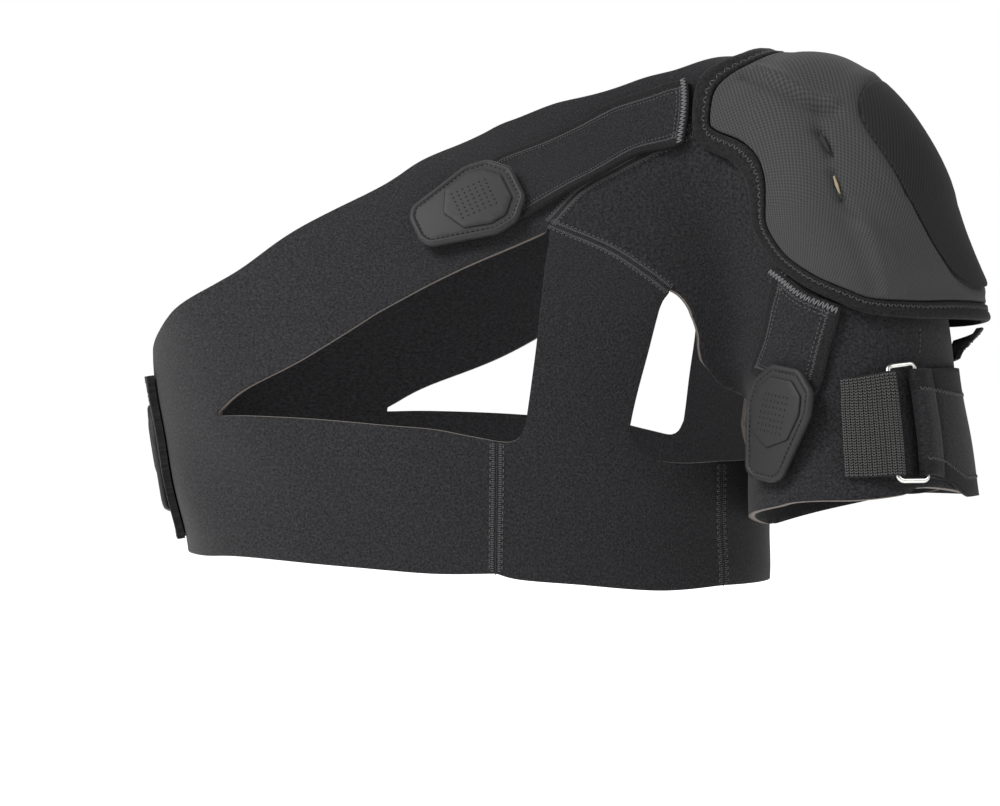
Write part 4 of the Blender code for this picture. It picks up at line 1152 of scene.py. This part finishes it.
def strap_fall(turn):
    """How far the arm strap's low edge falls as it widens behind the loop."""
    return STRAP_FALL * smooth_step((turn - 48.0) / 26.0)


def ribbon(node, kind, path, bar, side, materials, step, fall=None, hem=0.0):
    """Folded ribbon: section across the bar, swept along it, laid on the sleeve chart."""
    centre = curve_through(path, 0.0016)
    chains = ([], [])
    for i, point in enumerate(centre):
        before, after = centre[max(i - 1, 0)], centre[min(i + 1, len(centre) - 1)]
        along = (after - before) / np.linalg.norm(after - before)
        across = np.array((-along[1], along[0])) * RIBBON / 2.0
        chains[0].append(point + across)
        chains[1].append(point - across)
    bm = bmesh.new()
    for chain in chains:
        verts = [bm.verts.new((bar + side * x, RIBBON_LOW, z)) for x, z in chain]
        for a, b in zip(verts, verts[1:]):
            bm.edges.new((a, b))
    bmesh.ops.bridge_loops(bm, edges=bm.edges[:])
    raise_slab(bm, 1, RIBBON_HIGH)
    for k in range(int(np.floor(RIBBON_LOW / step)) + 1, int(np.ceil(RIBBON_HIGH / step))):
        bmesh.ops.bisect_plane(bm, geom=bm.verts[:] + bm.edges[:] + bm.faces[:], dist=1e-6,
                               plane_co=(0.0, k * step, 0.0), plane_no=(0.0, 1.0, 0.0))
    flat = flat_places(bm)
    share = (RIBBON_HIGH - flat[:, 1]) / (RIBBON_HIGH - RIBBON_LOW)
    if fall is not None:
        flat[:, 1] = flat[:, 1] - share * fall(np.degrees(flat[:, 0] / SLEEVE_TURN_R))
    placed = lift_off(sleeve_skin(flat[:, :2]), flat[:, 2])
    piece = finish_piece(f"{node}_{kind}", node, bm, placed, flat, lambda corners: int(
        min(share[corners].mean(), 1.0 - share[corners].mean()) < hem), materials)


def ribbon_top(distance):
    """Lift of a folded ribbon's upper face at a distance from its bar, behind it below zero."""
    high = LOOP_LIFT + FOLD_R
    behind = (-0.0190, -0.0150, -0.0110, -0.0070, -0.0030, 0.0, 0.0012, 0.0022)
    lifts = (WEB_LIFT, WEB_LIFT, WEB_LIFT + 0.0006, high - 0.0026, high - 0.0006, high, high - 0.0003,
             high - 0.0010)
    return np.interp(distance, behind, lifts) + RIBBON / 2.0


def chevrons(columns=13, pitch=0.0013):
    """Columns of knitted V stitches beside the bar, drawn twice as coarse as real."""
    across = bar_at(BAR_LEFT) - 0.0184 + 0.00166 * np.arange(columns)
    along = np.arange(RIBBON_LOW + 0.0008, RIBBON_HIGH - 0.0004, pitch)
    x, y = [grid.ravel() for grid in np.meshgrid(across, along)]
    points = np.concatenate([np.stack((x + side * 0.00036, y), axis=1) for side in (-1, 1)])
    halves = np.concatenate([np.tile((side * 0.00034, 0.00058), (len(x), 1)) for side in (-1, 1)])
    return points, halves


ribbon("elastic_webbing", "knit", FOLD_PATH + ((-0.0190, WEB_LIFT),), bar_at(BAR_LEFT), 1.0,
       (webbing_mat,), 0.0018)
marks = chevrons()
sew("elastic_webbing_stitches", "elastic_webbing", sleeve_skin, [marks],
    ribbon_top(marks[0][:, 0] - bar_at(BAR_LEFT)), thick=0.00030, material=yarn)
ribbon("arm_strap", "cloth", FOLD_PATH + ((-0.200, WEB_LIFT),), bar_at(BAR_RIGHT), -1.0,
       (jersey, tape_mat), THIN_STEP, strap_fall, 0.15)

# %% [markdown]
# ## Metal loop
# The loop is round wire bent into a rounded rectangle and welded.  A curve with a round
# bevel makes it, laid on the sleeve chart at the ribbons' height, so that it bends with the arm.

# %% Metal loop
def loop_knots(left, right, low, high, corner):
    """Rounded rectangle of the wire's middle."""
    knots = []
    for x, y, sx, sy in ((left, low, 1, 1), (left, high, 1, -1), (right, high, -1, -1), (right, low, -1, 1)):
        angles = np.linspace(0.0, np.pi / 2.0, 6)
        bend = [np.array((x + sx * corner * (1.0 - np.cos(a)), y + sy * corner * (1.0 - np.sin(a))))
                for a in angles]
        knots.extend(bend[::-1] if sx == sy else bend)
    return knots


path = filled(loop_knots(bar_at(BAR_LEFT), bar_at(BAR_RIGHT), LOOP_LOW, LOOP_HIGH, LOOP_CORNER), 0.0018)
curve = bpy.data.curves.new("loop_path", "CURVE")
curve.dimensions = "3D"
curve.bevel_depth = LOOP_WIRE
curve.bevel_resolution = 4
spline = curve.splines.new("POLY")
spline.points.add(len(path) - 1)
for point, co in zip(spline.points, lift_off(sleeve_skin(np.array(path)), np.full(len(path), LOOP_LIFT))):
    point.co = (*co, 1.0)
spline.use_cyclic_u = True
helper = bpy.data.objects.new("loop_path", curve)
wire = bpy.data.meshes.new_from_object(helper)
bpy.data.objects.remove(helper)
bm = bmesh.new()
bm.from_mesh(wire)
turn_outward(bm)
add_piece("strap_loop_wire", "strap_loop", bm, (steel,))

# %% [markdown]
# ## Seams
# The flatlock seams run where panels meet: over the shoulder, round the arc above the
# arm, down the chest band and down the side.  Each is a ladder with a dark line of
# stitches sunk in its middle, where the two cut edges press together.

# %% Flat seams
FACE = SKIN_GAP + NEOPRENE
BAND_SEAM = ((5.1, -0.234), (4.5, -0.352), (3.8, -0.471))
SIDE_SEAM = ((69.6, -0.275), (70.4, -0.390), (71.1, -0.499))
SLEEVE_SEAM = ((54.6, 0.104), (52.4, 0.088), (50.2, 0.070))
seams = [(f"{side}_{title}", node, turn_over(rows))
         for side, turn_over, harness, leg in (("front", tuple, "front_harness", "pectoral_panel"),
                                               ("back", flipped, "back_harness", "scapular_panel"))
         for title, rows, node in (("shoulder_seam", HARNESS_SEAM, harness), ("arc_seam", ARC_SEAM, leg),
                                   ("band_seam", BAND_SEAM, harness))]
for title, node, rows in seams + [("side_seam", "pectoral_panel", SIDE_SEAM)]:
    line = edge(rows, BODY_TURN_R)
    sew(f"{title}_thread", node, body_skin, ladder(line), FACE)
    sew(f"{title}_groove", node, body_skin, [stitch_marks(line, 0.0018, 0.0034, 0.0)], FACE - 0.0002,
        material=dark_thread)
sew("sleeve_seam_thread", "shoulder_sleeve", sleeve_skin,
    [stitch_marks(edge(SLEEVE_SEAM, SLEEVE_TURN_R), 0.0022, 0.0015, 0.0)], FACE)

# %% [markdown]
# ## Binding and hem stitches
# A zigzag holds the pad's binding and each hem, with a lockstitch inside the hem.  Where
# the two pad straps are sewn on, a wide pale zigzag closes their ends.

# %% Binding and hem stitches
sew("pad_binding_zigzag", "pad_binding", sleeve_skin,
    [stitch_marks(shrink(pad_loop, 0.0041), 0.0013, 0.0021, ZIGZAG, zigzag=True, closed=True)],
    PAD_BASE + PAD_EDGE - 0.0007, pad_flare)
for node, (loop, skin_of, low, wall, _, flare) in STRAPS.items():
    rows = [stitch_marks(shrink(loop, HEM + 0.0004), 0.0013, 0.0019, ZIGZAG, zigzag=True, closed=True),
            stitch_marks(shrink(loop, HEM + 0.0024), 0.0024, 0.0017, 0.0, closed=True)]
    sew(f"{node}_zigzag", node, skin_of, rows, low + wall, flare=flare)

END_LEAN, END_PITCH = 78.0, 0.0010
STRAP_ENDS = (
    # title, node, chart, its radius, end of the outline, stitch length, offset
    ("upper_strap_end", "upper_pad_strap", body_skin, BODY_TURN_R, (UPPER_STRAP[-1], UPPER_STRAP_LOW[0]),
     0.0036, -0.0026),
    ("lower_strap_top", "lower_pad_strap", sleeve_skin, SLEEVE_TURN_R, LOWER_STRAP_TOP, 0.0034, 0.0026),
)
for title, node, skin_of, radius, rows, length, offset in STRAP_ENDS:
    marks = stitch_marks(edge(rows, radius), END_PITCH, length, END_LEAN, offset, zigzag=True)
    sew(f"{title}_zigzag", node, skin_of, [marks], OVER + STRAP + 0.0006, material=pale_thread)

# %% [markdown]
# ## Slits of the pad
# The pad's cloth is slit twice along its valley.  One slit shows the pale foam; the other
# holds a black lens of painted shade for its dark inside.  Each is a slim lens set in its groove, which needs
# no hole in the cloth.

# %% Foam in one slit, painted shade in the other
# Open-cell polyurethane foam, cut from a block and yellowed a little.
slit_foam = new_material("slit_foam_open_cell", "#8A7C64", Roughness=0.9)[0]
SLIT_DEPTH = 0.0044
SLITS = (
    # title, middle, ends, half thickness, material
    ("foam", (50.3, 0.300), ((51.5, 0.307), (48.9, 0.289)), 0.0007, slit_foam),
    # The black lens here is painted shade, a dark sheet where the deep slit lies in shadow, though its title
    # says lining.
    ("lining", (57.3, 0.3355), ((59.5, 0.3475), (55.1, 0.322)), 0.0011, dark_thread),
)
for side, turn_over in (("front", tuple), ("back", flipped)):
    for title, middle, ends, thick, material in SLITS:
        centre, first, last = flat_points(turn_over((middle, *ends)), SLEEVE_TURN_R)
        marks = (centre[None, :], (last - first)[None, :] / 2.0)
        # The pad_slit_lining pieces are lenses of painted shade in the black thread material, not a lining
        # cloth.
        sew(f"pad_slit_{title}_{side}", "shoulder_pad", sleeve_skin, [marks],
            PAD_BASE + PAD - SLIT_DEPTH, pad_flare, thick, material)

# %% [markdown]
# ## Arm strap hems
# The arm strap's two edges are folded and held by a zigzag each.  The stitches follow the
# strap over its fold and down as it widens, so they are placed by share of its width.

# %% Arm strap hems
HEM_START, HEM_END = 41.0, 225.0        # turns round the arm
for share in (0.16, 0.84):
    turns = np.linspace(HEM_START, HEM_END, 60)
    across = RIBBON_HIGH - share * (RIBBON_HIGH - RIBBON_LOW) - share * strap_fall(turns)
    line = [np.array((bar_at(turn), y)) for turn, y in zip(turns, across)]
    marks = stitch_marks(line, 0.0014, 0.0021, ZIGZAG, zigzag=True)
    sew(f"arm_strap_zigzag_{int(share * 100)}", "arm_strap", sleeve_skin, [marks],
        ribbon_top(bar_at(BAR_RIGHT) - marks[0][:, 0]))
